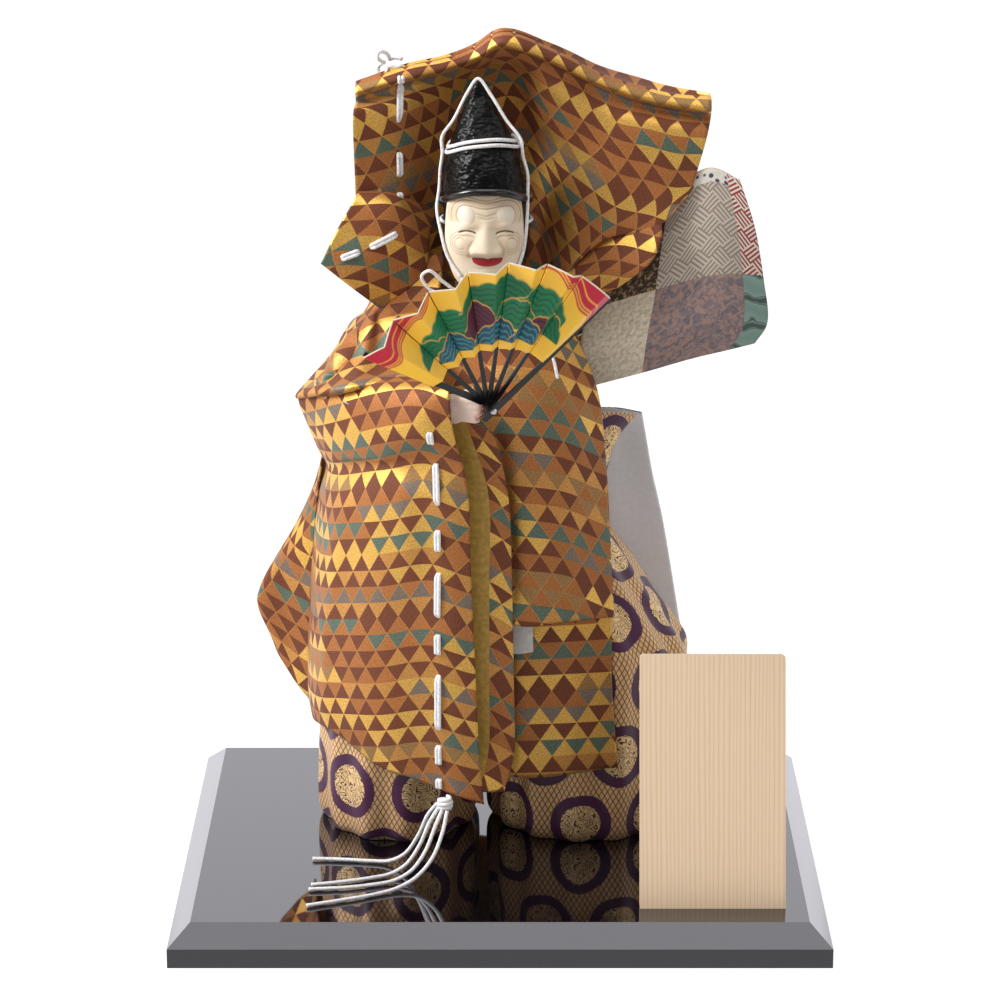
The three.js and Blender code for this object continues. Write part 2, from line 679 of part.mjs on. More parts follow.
const BACK_FLARE_NET = [
  [[48, 30, 214], [62, 29, 214], [75, 27, 212]],
  [[52, 35, 180], [68, 34, 180], [81, 30, 179]],
  [[56, 38, 150], [73, 36, 150], [87, 32, 151]],
  [[62, 40, 122], [79, 36, 122], [92, 32, 123]],
  [[67, 40, 94], [84, 34, 94], [97, 29, 94]],
  [[74, 38, 74], [88, 31, 76], [100, 24, 80]],
];
const BELT_LEVEL = 147;
const BELT_HEIGHT = 11;
const BELT_HALF_WIDTH = 65;
const BELT_HALF_DEPTH = 49;
const BELT_THICKNESS = 2;
const BELT_TAIL_NET = [
  [[4, -60, 142], [11, -60.5, 142], [18, -60.5, 142]],
  [[3, -63.5, 126], [10, -64.5, 126], [17, -64, 126]],
  [[3, -65.5, 109], [10, -66.5, 109], [17, -66, 110]],
];

/** Flat band round the waist, larger all round by grow. */
function beltSolid(grow = 0) {
  const ring = (z, reach) => levelRing({
    x: 2, y: -4, z, halfWidth: BELT_HALF_WIDTH + reach, halfDepth: BELT_HALF_DEPTH + reach, sides: 32,
  });
  const bar = (reach, spare) => solidOf(loft([
    ring(BELT_LEVEL - spare, reach), ring(BELT_LEVEL + BELT_HEIGHT + spare, reach),
  ]));
  return bar(BELT_THICKNESS + grow, grow).subtract(bar(-grow, grow + 1));
}

const INNER_SLEEVE_NET = [
  [[68, -8, 314], [88, -8, 336], [108, -6, 348], [123, -2, 342]],
  [[54, -14, 296], [84, -17, 312], [110, -15, 322], [131, -4, 318]],
  [[44, -16, 272], [80, -20, 284], [112, -18, 292], [136, -4, 290]],
  [[42, -12, 250], [76, -17, 262], [110, -15, 268], [138, -4, 268]],
  [[48, -6, 235], [74, -8, 243], [104, -6, 251], [132, -2, 257]],
];

/** Collar ring round the neck, larger all round by grow. */
function collarRing(halfWidth, bottom, height, thickness, grow = 0) {
  const ring = (z, reach) => levelRing({
    x: NECK_X, y: NECK_Y + 3, z, halfWidth: halfWidth + reach, halfDepth: halfWidth + reach + 1, sides: 24,
  });
  const bar = (reach, spare) => solidOf(loft([
    ring(bottom - spare, reach), ring(bottom + height + spare, reach),
  ]));
  return bar(thickness + grow, grow).subtract(bar(-grow, grow + 1));
}

// Outer robe

const DRAWN_TORSO = 127;

/** Net whose heights above the hips follow the core; it is drawn for a core of the drawn height. */
const onTorso = (net) => net.map((row) => row.map(([x, y, z]) => (
  [x, y, z > CORE_BOTTOM ? mix(CORE_BOTTOM, CORE_TOP, (z - CORE_BOTTOM) / DRAWN_TORSO) : z]
)));
const FRONT_NET = onTorso([
  [[-34, -28, 282], [-14, -34, 288], [4, -36, 288], [22, -33, 284], [38, -22, 270]],
  [[-32, -46, 250], [-11, -52, 250], [6, -56, 251], [28, -50, 247], [50, -30, 237]],
  [[-30, -60, 207], [-3, -66, 207], [10, -68, 208], [32, -60, 205], [54, -40, 199]],
  [[-26, -64, 160], [0, -72, 161], [14, -74, 162], [34, -66, 159], [57, -48, 153]],
  [[-24, -68, 129], [2, -76, 129], [15, -78, 128], [36, -71, 129], [58, -53, 125]],
  [[-24, -64, 132], [2, -71, 132], [15, -73, 132], [36, -66, 132], [57, -49, 129]],
  [[-22, -60, 146], [2, -63, 147], [15, -63, 147], [36, -59, 146], [54, -44, 142]],
]);
const SKIRT_NET = [
  [[3, -54.6, 156], [16, -54.4, 156], [36, -51, 156], [54, -41, 154]],
  [[3, -59, 137], [15, -60, 137], [37, -58, 137], [57, -50, 133]],
  [[4, -62, 89], [16, -63.5, 89], [38, -62, 89], [58, -56, 86]],
  [[4, -64, 42], [16, -66, 41], [39, -64, 43], [61, -58, 44]],
];
const BACK_NET = onTorso([
  [[-48, 10, 280], [-26, 11, 287], [-6, 10, 289], [16, 11, 287], [36, 10, 280]],
  [[-60, 26, 240], [-32, 35, 240], [-6, 37, 240], [20, 35, 240], [48, 25, 238]],
  [[-66, 46, 160], [-35, 54, 160], [-5, 55, 160], [26, 54, 160], [55, 46, 160]],
  [[-70, 55, 100], [-36, 60, 100], [-5, 61, 100], [28, 60, 100], [60, 55, 100]],
  [[-72, 59, 46], [-37, 64, 44], [-5, 65, 44], [29, 64, 44], [63, 59, 46]],
]);
const RIGHT_SLEEVE_NET = [
  [[-101, -22, 241], [-86, -48, 246], [-63, -70, 249], [-42, -84, 249], [-25, -93, 249]],
  [[-103, -15, 228], [-90, -48, 228], [-65, -74, 231], [-44, -88, 233], [-22, -96, 234]],
  [[-94, 2, 187], [-83, -47, 197], [-59, -75, 204], [-35, -90, 209], [-17, -95, 211]],
  [[-98, 6, 148], [-86, -47, 160], [-60, -75, 167], [-34, -90, 172], [-15, -94, 176]],
  [[-102, 10, 102], [-90, -46, 117], [-62, -74, 118], [-34, -89, 121], [-13, -92, 125]],
  [[-103, 13, 64], [-91, -45, 78], [-62, -73, 70], [-33, -88, 63], [-10, -91, 70]],
  [[-102, 14, 51], [-90, -45, 65], [-61, -72, 57], [-32, -88, 46], [-8, -91, 36]],
];
const RIGHT_ARM_PADDING = [
  [[-44, -8, 264], 17], [[-60, -12, 262], 19], [[-76, -20, 256], 18], [[-90, -36, 244], 15],
  [[-76, -60, 241], 13.5], [[-52, -80, 242], 12], [[-36, -92, 244.5], 9.5],
];
const RIGHT_REAR_NET = [
  [[-84, -12, 246], [-82, -8, 246], [-79, -5, 247], [-72, -3, 250], [-60, 4, 254]],
  [[-93, 5, 190], [-95, 16, 184], [-95, 25, 178], [-88, 34, 188], [-66, 36, 216]],
  [[-98, 9, 150], [-112, 20, 134], [-128, 31, 114], [-108, 42, 134], [-74, 47, 150]],
  [[-101, 13, 106], [-115, 23, 101], [-130, 32, 104], [-110, 45, 100], [-77, 53, 100]],
  [[-102, 17, 55], [-110, 23, 64], [-121, 31, 80], [-104, 46, 68], [-78, 57, 55]],
];
const RIGHT_LINING_NET = [
  [[-46, -74, 239], [-28, -83, 239], [-6, -82, 231]],
  [[-42, -74, 200], [-22, -81, 200], [2, -81, 198]],
  [[-40, -75, 150], [-20, -81, 150], [3, -80, 150]],
  [[-38, -73, 100], [-17, -80, 100], [5, -79, 100]],
  [[-36, -72, 62], [-14, -79, 60], [7, -77, 58]],
  [[-34, -85, 47], [-13, -88.5, 42], [4, -83, 40]],
];
const LEFT_SLEEVE_NET = [
  [[-73, -12, 394], [-51, -8, 400], [-29, 0, 404], [-13, 4, 409], [1, -4, 418], [24, 0, 410], [51, 4, 396],
    [79, 6, 387], [108, 8, 382]],
  [[-74, -14, 381], [-51, -8, 383], [-31, 6, 383], [-12, 15, 386], [6, 4, 396], [28, 0, 386], [54, 2, 376],
    [79, 2, 371], [106, 4, 365]],
  [[-74, -14, 356], [-51, -6, 355], [-31, 8, 352], [-11, 18, 352], [13, 12, 362], [33, 2, 360], [56, -2, 356],
    [79, -2, 353], [102, 2, 350]],
  [[-73, -16, 328], [-51, -6, 325], [-31, 10, 322], [-9, 18, 322], [15, 10, 334], [36, -2, 335],
    [56, -6, 338], [79, -4, 339], [98, 0, 339]],
  [[-69, -10, 298], [-52, 0, 295], [-31, 12, 293], [-5, 17, 296], [18, 6, 308], [31, -8, 305], [54, -10, 317],
    [79, -8, 327], [96, -2, 337]],
];
const LEFT_CORNER_NET = [
  [[-70, -8, 341], [-54, -2, 338], [-33, 10, 324]],
  [[-74, -20, 336], [-55, -20, 332], [-36, -12, 316]],
  [[-83, -24, 321], [-62, -26, 312], [-38, -17, 299]],
  [[-91, -28, 305], [-76, -28, 293], [-61, -22, 280]],
];
const LEFT_ROOT_NET = [
  [[44, 6, 318], [62, 6, 326], [82, 8, 334]],
  [[36, -2, 303], [56, 1, 308], [75, 5, 318]],
  [[30, -6, 294], [46, -4, 295], [62, 2, 300]],
  [[24, -14, 283], [38, -10, 282], [50, -4, 284]],
];

/** Padded upper arm and forearm of the right sleeve. */
function rightArmPadding(grow = 0) {
  const curve = new THREE.CatmullRomCurve3(RIGHT_ARM_PADDING.map(([place]) => point(place)));
  const steps = 9;
  const sides = 12;
  const frames = curve.computeFrenetFrames(steps);
  const rings = Array.from({ length: steps + 1 }, (_, step) => {
    const share = step / steps;
    const position = share * (RIGHT_ARM_PADDING.length - 1);
    const index = Math.min(Math.floor(position), RIGHT_ARM_PADDING.length - 2);
    const radius = mix(RIGHT_ARM_PADDING[index][1], RIGHT_ARM_PADDING[index + 1][1], position - index) + grow;
    const middle = curve.getPoint(share);
    return Array.from({ length: sides }, (_unused, side) => {
      const angle = (side / sides) * 2 * Math.PI;
      const out = middle.clone().addScaledVector(frames.normals[step], radius * Math.cos(angle));
      return out.addScaledVector(frames.binormals[step], radius * Math.sin(angle));
    });
  });
  return solidOf(loft(rings));
}

const RIGHT_SLEEVE = new Drape(RIGHT_SLEEVE_NET, 11, 9, hangingFolds(2.5, 1.6));
const LEFT_SLEEVE = new Drape(LEFT_SLEEVE_NET, 16, 7);
const LEFT_CORNER = new Drape(LEFT_CORNER_NET, 5, 5);
const LEFT_SLEEVE_PUFF = pillow(5, 18);
const ARM_SWELL = 16;
const LEFT_SLEEVE_DEPTH = (u, v) => (
  LEFT_SLEEVE_PUFF(u, v) + ARM_SWELL * bump(u, 0.72, 0.16) * Math.sqrt(Math.sin(Math.PI * v))
);

/** Route of a cord stitched in and out of a drape along a line from one place to another. */
function stitchedRoute(drape, from, to, stitches, lift, sink) {
  const turns = 4 * stitches;
  return Array.from({ length: turns + 1 }, (_, turn) => {
    const share = turn / turns;
    const place = drape.at(mix(from[0], to[0], share), mix(from[1], to[1], share));
    const normal = drape.normal(mix(from[0], to[0], share), mix(from[1], to[1], share));
    const height = [lift, lift, -sink, -sink][turn % 4];
    place.addScaledVector(normal, height);
    return [place.x, place.y, place.z];
  });
}

const SLEEVE_CORD_LIFT = ROBE_CLOTH / 2 + SLEEVE_CORD_RADIUS + 2 * GAP;
const BAG_CORD_LIFT = SLEEVE_CORD_RADIUS + 2 * GAP;
const RIGHT_CORD_ROUTE = stitchedRoute(
  RIGHT_SLEEVE, [0.82, 0.2], [0.8, 0.96], 4.25, SLEEVE_CORD_LIFT, SLEEVE_CORD_LIFT,
);
const LEFT_CORD_ROUTE = stitchedRoute(LEFT_SLEEVE, [0.13, 0.08], [0.12, 0.66], 1.75, BAG_CORD_LIFT, 1.2);
const CORNER_CORD_ROUTE = stitchedRoute(
  LEFT_CORNER, [0.62, 0.5], [0.2, 0.86], 1.25, SLEEVE_CORD_LIFT, SLEEVE_CORD_LIFT,
);
const KNOT_PLACE = [-27, -92.5, 40];
const LOOPS_PLACE = [-57, 0.6, 403];

/** Bunch of three cord loops behind the raised sleeve. */
function cordLoops() {
  const [x, y, z] = LOOPS_PLACE;
  const petals = 3;
  const route = Array.from({ length: 25 }, (_, index) => {
    const angle = (index / 24) * (2 * Math.PI - 0.5) + 0.25;
    const reach = 7 + 4.5 * Math.cos(petals * angle);
    return [x + reach * Math.cos(angle), y + 3 * Math.sin(2 * angle), z + reach * Math.sin(angle) * 0.8];
  });
  return tube(route, CORD_RADIUS, 28, TRIM_SIDES);
}

// Strands of the tassel, from the knot down to the base board
const STRAND_LIE = CORD_RADIUS + GAP;
const STRAND_ROUTES = [
  [[-32.2, -92, 37], [-37, -90, 30], [-42, -88, 18], [-49, -86, 7], [-57, -84, 2.2], [-67, -82, STRAND_LIE],
    [-78, -80.5, STRAND_LIE], [-88, -79.5, STRAND_LIE], [-97, -79, STRAND_LIE]],
  [[-31.4, -94.4, 35.6], [-36, -95, 28], [-41, -96, 16], [-48, -98, 6], [-56, -101, 2],
    [-66, -105, STRAND_LIE], [-77, -109, STRAND_LIE], [-87, -112, STRAND_LIE], [-96, -114, STRAND_LIE]],
  [[-29.6, -95.8, 34.8], [-33, -98, 27], [-38, -102, 15], [-45, -106, 6], [-54, -110, 2],
    [-65, -114, STRAND_LIE], [-77, -117.5, STRAND_LIE], [-88, -119, STRAND_LIE], [-97, -120, STRAND_LIE]],
  [[-27, -96.4, 34.6], [-29, -101, 26], [-34, -107, 14], [-42, -113, 5.6], [-52, -120, 2],
    [-64, -127, STRAND_LIE], [-77, -133, STRAND_LIE], [-88, -137.5, STRAND_LIE], [-97, -141, STRAND_LIE]],
];

// Folding fan, in the fan's frame: x runs along the right guard, z points out of the painted side

/** Axes of the fan's frame in the figure's frame. */
function fanAxes() {
  const [view, roll, tilt] = [FAN_VIEW_DEG * DEG, FAN_ROLL_DEG * DEG, FAN_TILT_DEG * DEG];
  const toViewer = new THREE.Vector3(0, -Math.cos(view), Math.sin(view));
  const up = new THREE.Vector3(0, Math.sin(view), Math.cos(view));
  const x = new THREE.Vector3(Math.cos(roll), 0, 0).addScaledVector(up, Math.sin(roll));
  const aside = new THREE.Vector3(-Math.sin(roll), 0, 0).addScaledVector(up, Math.cos(roll));
  const z = toViewer.multiplyScalar(Math.cos(tilt)).addScaledVector(aside, -Math.sin(tilt));
  return { x, y: z.clone().cross(x), z };
}

const RIB_STEP = FAN_OPEN_DEG / (RIB_COUNT - 1);
const RIB_LAST = RIB_COUNT - 1;
const ribAngle = (rib) => (FAN_OPEN_DEG - rib * RIB_STEP) * DEG;
const ribLevel = (rib) => (rib - RIB_LAST / 2) * RIB_PITCH + (rib === RIB_LAST ? GUARD_STEP : 0);

/** Outline of a rib along x, from its tail to its tip, larger by grow. */
function ribOutline(width, tipWidth, length, grow = 0) {
  const [root, tip] = [width / 2 + grow, tipWidth / 2 + grow];
  const outline = new THREE.Shape();
  outline.moveTo(length + grow, -tip);
  outline.lineTo(length + grow, tip);
  outline.lineTo(0, root);
  outline.lineTo(-RIB_TAIL, root);
  outline.absarc(-RIB_TAIL, 0, root, Math.PI / 2, 1.5 * Math.PI);
  outline.lineTo(0, -root);
  outline.closePath();
  return outline;
}

/** Geometry of one rib or guard, at its angle and level in the stack. */
function ribGeometry(rib) {
  const guard = rib === 0 || rib === RIB_LAST;
  const outline = guard
    ? ribOutline(GUARD_WIDTH, GUARD_TIP_WIDTH, FAN_RADIUS)
    : ribOutline(RIB_WIDTH, RIB_TIP_WIDTH, FAN_RADIUS - RIB_SHORTER);
  outline.holes.push(new THREE.Path().absarc(0, 0, RIVET_RADIUS + GAP / 2, 0, 2 * Math.PI));
  const planing = { depth: RIB_THICKNESS, bevelEnabled: false, curveSegments: 5 };
  const blade = new THREE.ExtrudeGeometry(outline, planing);
  return blade.translate(0, 0, ribLevel(rib)).rotateZ(ribAngle(rib));
}

/** Room of the ribs folded on to the left guard, with their clearance. */
function foldedFan(stack) {
  const outline = ribOutline(GUARD_WIDTH, GUARD_TIP_WIDTH, FAN_RADIUS, GAP);
  const block = new THREE.ExtrudeGeometry(outline, { depth: stack, bevelEnabled: false, curveSegments: 5 });
  return block.translate(0, 0, ribLevel(0) - GAP).rotateZ(ribAngle(0));
}

/** One fold of the leaf between a rib and the next. */
function leafGeometry(rib) {
  const edge = (GAP / FAN_LEAF_INNER) * 0.5;
  const [from, to] = [ribAngle(rib) - edge, ribAngle(rib + 1) + edge];
  const levelFrom = ribLevel(rib) + RIB_THICKNESS + GAP;
  const levelTo = rib + 1 === RIB_LAST ? levelFrom : ribLevel(rib + 1) + RIB_THICKNESS + GAP;
  const corner = (share, radius, lift) => {
    const angle = mix(from, to, share);
    const pleat = LEAF_PLEAT * (1 - Math.abs(2 * share - 1)) * (radius / FAN_RADIUS);
    const level = mix(levelFrom, levelTo, share) + pleat + lift;
    return new THREE.Vector3(radius * Math.cos(angle), radius * Math.sin(angle), level);
  };
  const face = (lift) => [FAN_RADIUS, FAN_LEAF_INNER].map((radius) => (
    [0, 0.5, 1].map((share) => corner(share, radius, lift))
  ));
  return skinBetween(face(LEAF_THICKNESS), face(0));
}

function rivetGeometry() {
  const bottom = ribLevel(0) - GAP;
  const top = ribLevel(RIB_LAST) + RIB_THICKNESS + GAP;
  const profile = [
    [0, bottom - RIVET_HEAD_HEIGHT], [RIVET_HEAD_RADIUS, bottom - RIVET_HEAD_HEIGHT],
    [RIVET_HEAD_RADIUS, bottom], [RIVET_RADIUS, bottom], [RIVET_RADIUS, top], [RIVET_HEAD_RADIUS, top],
    [RIVET_HEAD_RADIUS * 0.7, top + RIVET_HEAD_HEIGHT], [0, top + RIVET_HEAD_HEIGHT],
  ].map(([radius, height]) => new THREE.Vector2(radius, height));
  return new THREE.LatheGeometry(profile, 14).rotateX(Math.PI / 2);
}

function makeFan(axes) {
  const group = new THREE.Group();
  group.matrixAutoUpdate = false;
  group.matrix.makeBasis(axes.x, axes.y, axes.z).setPosition(point(FAN_PIVOT));
  for (let rib = 0; rib < RIB_COUNT; rib += 1) {
    const ends = { 0: 'fan_guard_left', [RIB_LAST]: 'fan_guard_right' };
    group.add(piece(ends[rib] ?? `fan_rib_${rib}`, ribGeometry(rib), FAN_LACQUER));
  }
  for (let rib = 0; rib < RIB_LAST; rib += 1) {
    group.add(piece(`fan_leaf_${rib + 1}`, leafGeometry(rib), FAN_PAPER));
  }
  group.add(piece('fan_rivet', rivetGeometry(), SILVER));
  return group;
}

// The figure

function makeFigure() {
  const figure = new THREE.Group();
  figure.position.set(0, FIGURE_Y, BASE_THICKNESS);
  const add = (name, shape, finish) => figure.add(piece(name, shape, finish));

  // Room taken by the rigid pieces and the inner robe, with their clearance
  const posts = [[POST_FOOT_LEFT, -POST_HIP_X], [POST_FOOT_RIGHT, POST_HIP_X]];
  const postRoom = posts.map(([foot, hip]) => legPost(foot, hip, GAP));
  const coreRoom = bodyCore(GAP);
  const wireRoom = [RIGHT_ARM_ROUTE, LEFT_ARM_ROUTE].map((route) => armWire(route, GAP));
  const innerCollar = [NECK_RADIUS + 3, CORE_TOP - 5, 11, INNER_CLOTH];
  const robeCollar = [NECK_RADIUS + 3 + INNER_CLOTH + 2 * GAP, CORE_TOP + 1, 6, ROBE_COLLAR_THICKNESS];
  const innerRobeRoom = bodyCore(2 * GAP + INNER_CLOTH).add(collarRing(...innerCollar, GAP));
  const pegRoom = new THREE.CylinderGeometry(PEG_RADIUS + GAP, PEG_RADIUS + GAP, 2 * (PEG_DEPTH + GAP), 16);
  pegRoom.rotateX(Math.PI / 2).translate(NECK_X, NECK_Y, CORE_TOP);
  const axes = fanAxes();
  const fanMatrix = new THREE.Matrix4().makeBasis(axes.x, axes.y, axes.z).setPosition(point(FAN_PIVOT));
  const stack = RIB_COUNT * RIB_PITCH + GUARD_STEP + 2;
  const foldedRoom = foldedFan(stack).applyMatrix4(fanMatrix);
  const pivotRadius = RIB_TAIL + GUARD_WIDTH / 2 + GAP;
  const pivotRoom = new THREE.CylinderGeometry(pivotRadius, pivotRadius, stack, 20);
  pivotRoom.rotateX(Math.PI / 2).applyMatrix4(fanMatrix);

  // Wooden body
  add('leg_post_left', legPost(...posts[0]), CORE_WOOD);
  add('leg_post_right', legPost(...posts[1]), CORE_WOOD);
  add('body_core', cutBy(bodyCore(), ...postRoom, ...wireRoom, solidOf(pegRoom)), CORE_WOOD);
  add('arm_wire_right', armWire(RIGHT_ARM_ROUTE), WIRE);
  add('arm_wire_left', armWire(LEFT_ARM_ROUTE), WIRE);
  const rightHand = hand(RIGHT_PALM, 1);
  const leftHand = hand(LEFT_PALM, -1);
  add('hand_right', cutBy(rightHand, wireRoom[0], solidOf(foldedRoom), solidOf(pivotRoom)), SKIN);
  add('hand_left', cutBy(leftHand, wireRoom[1]), SKIN);

  // Hakama and belt
  const leftLegRoom = trouserLeg(LEFT_LEG_SECTIONS, LEFT_LEG_PLEATS, GAP);
  const rightLegRoom = trouserLeg(RIGHT_LEG_SECTIONS, RIGHT_LEG_PLEATS, GAP);
  const leftLeg = trouserLeg(LEFT_LEG_SECTIONS, LEFT_LEG_PLEATS);
  const rightLeg = trouserLeg(RIGHT_LEG_SECTIONS, RIGHT_LEG_PLEATS);
  add('hakama_left_leg', cutBy(leftLeg, postRoom[0]), HAKAMA_BROCADE);
  add('hakama_right_leg', cutBy(rightLeg, postRoom[1]), HAKAMA_BROCADE);
  const flare = new Drape(BACK_FLARE_NET, 4, 8);
  const flareRoom = flare.sheet(ROBE_CLOTH, GAP);
  const flareLining = new Drape(BACK_FLARE_NET, 4, 8, () => ROBE_CLOTH / 2 + GAP + LINING_CLOTH / 2);
  const liningRoom = flareLining.sheet(LINING_CLOTH, GAP);
  const hip = new Drape(HIP_PANEL_NET, 4, 6);
  const beltRoom = beltSolid(GAP);
  add('belt', cutBy(beltSolid(), coreRoom, leftLegRoom, rightLegRoom), BELT_CLOTH);
  add('hakama_back_panel', cutBy(flare.sheet(ROBE_CLOTH), rightLegRoom, beltRoom), HAKAMA_BROCADE);
  add('hakama_lining', cutBy(flareLining.sheet(LINING_CLOTH), rightLegRoom, flareRoom), HAKAMA_LINING);
  add('hakama_hip_panel', cutBy(hip.sheet(ROBE_CLOTH), rightLegRoom, beltRoom, liningRoom, flareRoom,
    innerRobeRoom), HAKAMA_BROCADE);
  const hipRoom = hip.sheet(ROBE_CLOTH, GAP);

  // Inner robe and the collars
  const innerRobe = bodyCore(GAP + INNER_CLOTH).add(collarRing(...innerCollar));
  const neckRoom = new THREE.CylinderGeometry(innerCollar[0], innerCollar[0], 2 * innerCollar[2], 24);
  neckRoom.rotateX(Math.PI / 2).translate(NECK_X, NECK_Y + 3, CORE_TOP + innerCollar[2]);
  const turnRadius = NECK_RADIUS + 2 * GAP;
  const turnRoom = new THREE.CylinderGeometry(turnRadius, turnRadius, 2 * innerCollar[2], 24);
  turnRoom.rotateX(Math.PI / 2).translate(NECK_X, NECK_Y, CORE_TOP + innerCollar[2]);
  add('inner_robe', cutBy(innerRobe, coreRoom, solidOf(neckRoom), solidOf(turnRoom), leftLegRoom,
    rightLegRoom, ...wireRoom, ...postRoom, beltRoom), INNER_BROCADE);
  add('robe_collar', cutBy(collarRing(...robeCollar), innerRobeRoom), ROBE_BROCADE);
  const bodyRoom = [innerRobeRoom, collarRing(...robeCollar, GAP)];

  // Right sleeve: padded arm, hanging front, rear half and lining
  const sleeveFront = RIGHT_SLEEVE.sheet(ROBE_CLOTH);
  const rightCord = tube(RIGHT_CORD_ROUTE, SLEEVE_CORD_RADIUS, 36, TRIM_SIDES);
  const rightCordRoom = solidOf(tube(RIGHT_CORD_ROUTE, SLEEVE_CORD_RADIUS + GAP, 36, TRIM_SIDES));
  const handRoom = solidOf(ellipsoid(RIGHT_PALM, PALM_RADII.map((radius) => radius + GAP)));
  const rightSleeve = cutBy(
    rightArmPadding().add(sleeveFront),
    wireRoom[0], handRoom, hand(RIGHT_PALM, 1), rightCordRoom, ...bodyRoom,
  );
  const rightSleeveRoom = rightArmPadding(GAP).add(RIGHT_SLEEVE.sheet(ROBE_CLOTH, GAP));
  add('robe_right_sleeve', rightSleeve, ROBE_BROCADE);
  add('sleeve_cord_right', rightCord, CORD_WHITE);
  const rear = new Drape(RIGHT_REAR_NET, 12, 6);
  add('robe_right_sleeve_back', cutBy(rear.sheet(ROBE_CLOTH), rightSleeveRoom), ROBE_BROCADE);
  const rearRoom = rear.sheet(ROBE_CLOTH, GAP);
  const lining = new Drape(RIGHT_LINING_NET, 4, 8);
  add('robe_right_sleeve_lining', cutBy(lining.sheet(LINING_CLOTH), rightSleeveRoom, rightCordRoom,
    handRoom), ROBE_LINING);
  const liningSheetRoom = lining.sheet(LINING_CLOTH, GAP);

  // Raised left sleeve with its folded corner and its root at the shoulder
  const leftCord = tube(LEFT_CORD_ROUTE, SLEEVE_CORD_RADIUS, 22, TRIM_SIDES);
  const leftCordRoom = solidOf(tube(LEFT_CORD_ROUTE, SLEEVE_CORD_RADIUS + GAP, 22, TRIM_SIDES));
  const cornerCord = tube(CORNER_CORD_ROUTE, SLEEVE_CORD_RADIUS, 16, TRIM_SIDES);
  const cornerCordRoom = solidOf(tube(CORNER_CORD_ROUTE, SLEEVE_CORD_RADIUS + GAP, 16, TRIM_SIDES));
  const root = new Drape(LEFT_ROOT_NET, 4, 5);
  const pocket = solidOf(ellipsoid(LEFT_POCKET.centre, LEFT_POCKET.radii));
  const leftSleeve = LEFT_SLEEVE.bag(LEFT_SLEEVE_DEPTH)
    .add(LEFT_CORNER.sheet(ROBE_CLOTH)).add(root.sheet(ROBE_CLOTH));
  add('robe_left_sleeve', cutBy(leftSleeve, wireRoom[1], pocket, leftCordRoom, cornerCordRoom,
    rightSleeveRoom, ...bodyRoom), ROBE_BROCADE);
  const leftSleeveRoom = LEFT_SLEEVE.bag(LEFT_SLEEVE_DEPTH, GAP)
    .add(LEFT_CORNER.sheet(ROBE_CLOTH, GAP)).add(root.sheet(ROBE_CLOTH, GAP));
  add('sleeve_cord_left', leftCord, CORD_WHITE);
  add('corner_cord_left', cornerCord, CORD_WHITE);
  add('cord_loops_left', cutBy(solidOf(cordLoops()), leftSleeveRoom), CORD_WHITE);

  // Front, skirt and back of the robe
  const front = new Drape(FRONT_NET, 9, 14);
  const frontPiece = cutBy(front.sheet(ROBE_CLOTH), rightSleeveRoom, leftSleeveRoom, beltRoom,
    hipRoom, rightLegRoom, liningSheetRoom, ...bodyRoom);
  add('robe_front', frontPiece, ROBE_BROCADE);
  const frontRoom = front.sheet(ROBE_CLOTH, GAP);
  const skirt = new Drape(SKIRT_NET, 10, 5, hangingFolds(2, 0.8));
  add('robe_skirt', cutBy(skirt.sheet(ROBE_CLOTH), rightLegRoom, beltRoom, frontRoom, hipRoom), ROBE_BROCADE);
  const skirtRoom = skirt.sheet(ROBE_CLOTH, GAP);
  const tail = new Drape(BELT_TAIL_NET, 2, 4);
  add('belt_tail', cutBy(tail.sheet(LINING_CLOTH), frontRoom, skirtRoom), BELT_CLOTH);
  const back = new Drape(BACK_NET, 18, 5, hangingFolds(4, 2.4));
  add('robe_back', cutBy(back.sheet(ROBE_CLOTH), rightSleeveRoom, rearRoom, leftSleeveRoom,
    flareRoom, beltRoom, leftLegRoom, rightLegRoom, ...bodyRoom), ROBE_BROCADE);
  const backRoom = back.sheet(ROBE_CLOTH, GAP);

  // Padded left sleeve of the inner robe
  const innerSleeve = new Drape(INNER_SLEEVE_NET, 8, 8).bag(pillow(5, 36));
  add('inner_sleeve_left', cutBy(innerSleeve, innerRobeRoom, wireRoom[1], leftSleeve, leftSleeveRoom,
    frontRoom, backRoom, hipRoom), INNER_BROCADE);

  // Tassel at the right sleeve's lower corner
  const knot = solidOf(ellipsoid(KNOT_PLACE, [KNOT_RADIUS, KNOT_RADIUS * 0.8, KNOT_RADIUS]));
  const strandRoom = STRAND_ROUTES.map((route) => solidOf(tube(route, CORD_RADIUS + GAP, 13)));
  add('sleeve_knot', cutBy(knot, rightSleeveRoom, rightCordRoom, ...strandRoom), CORD_WHITE);
  STRAND_ROUTES.forEach((route, index) => {
    add(`tassel_strand_${index + 1}`, tube(route, CORD_RADIUS, 13), CORD_WHITE);
  });

  figure.add(makeHead());
  figure.add(makeFan(axes));
  return figure;
}

const doll = new THREE.Group();
doll.add(makeBase(), makeNameBoard(), makeFigure());

export default doll;
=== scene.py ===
"""Looks of a noh dancer doll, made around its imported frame.

Sizes are in millimetres where nothing else is said. Nets and routes are in the figure's frame, whose z
starts on top of the base board, or in the head's frame, which starts where the neck meets the body. Every
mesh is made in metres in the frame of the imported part.
"""

import logging
import math
from dataclasses import dataclass
from enum import Enum
from functools import partial
from typing import Callable, Sequence

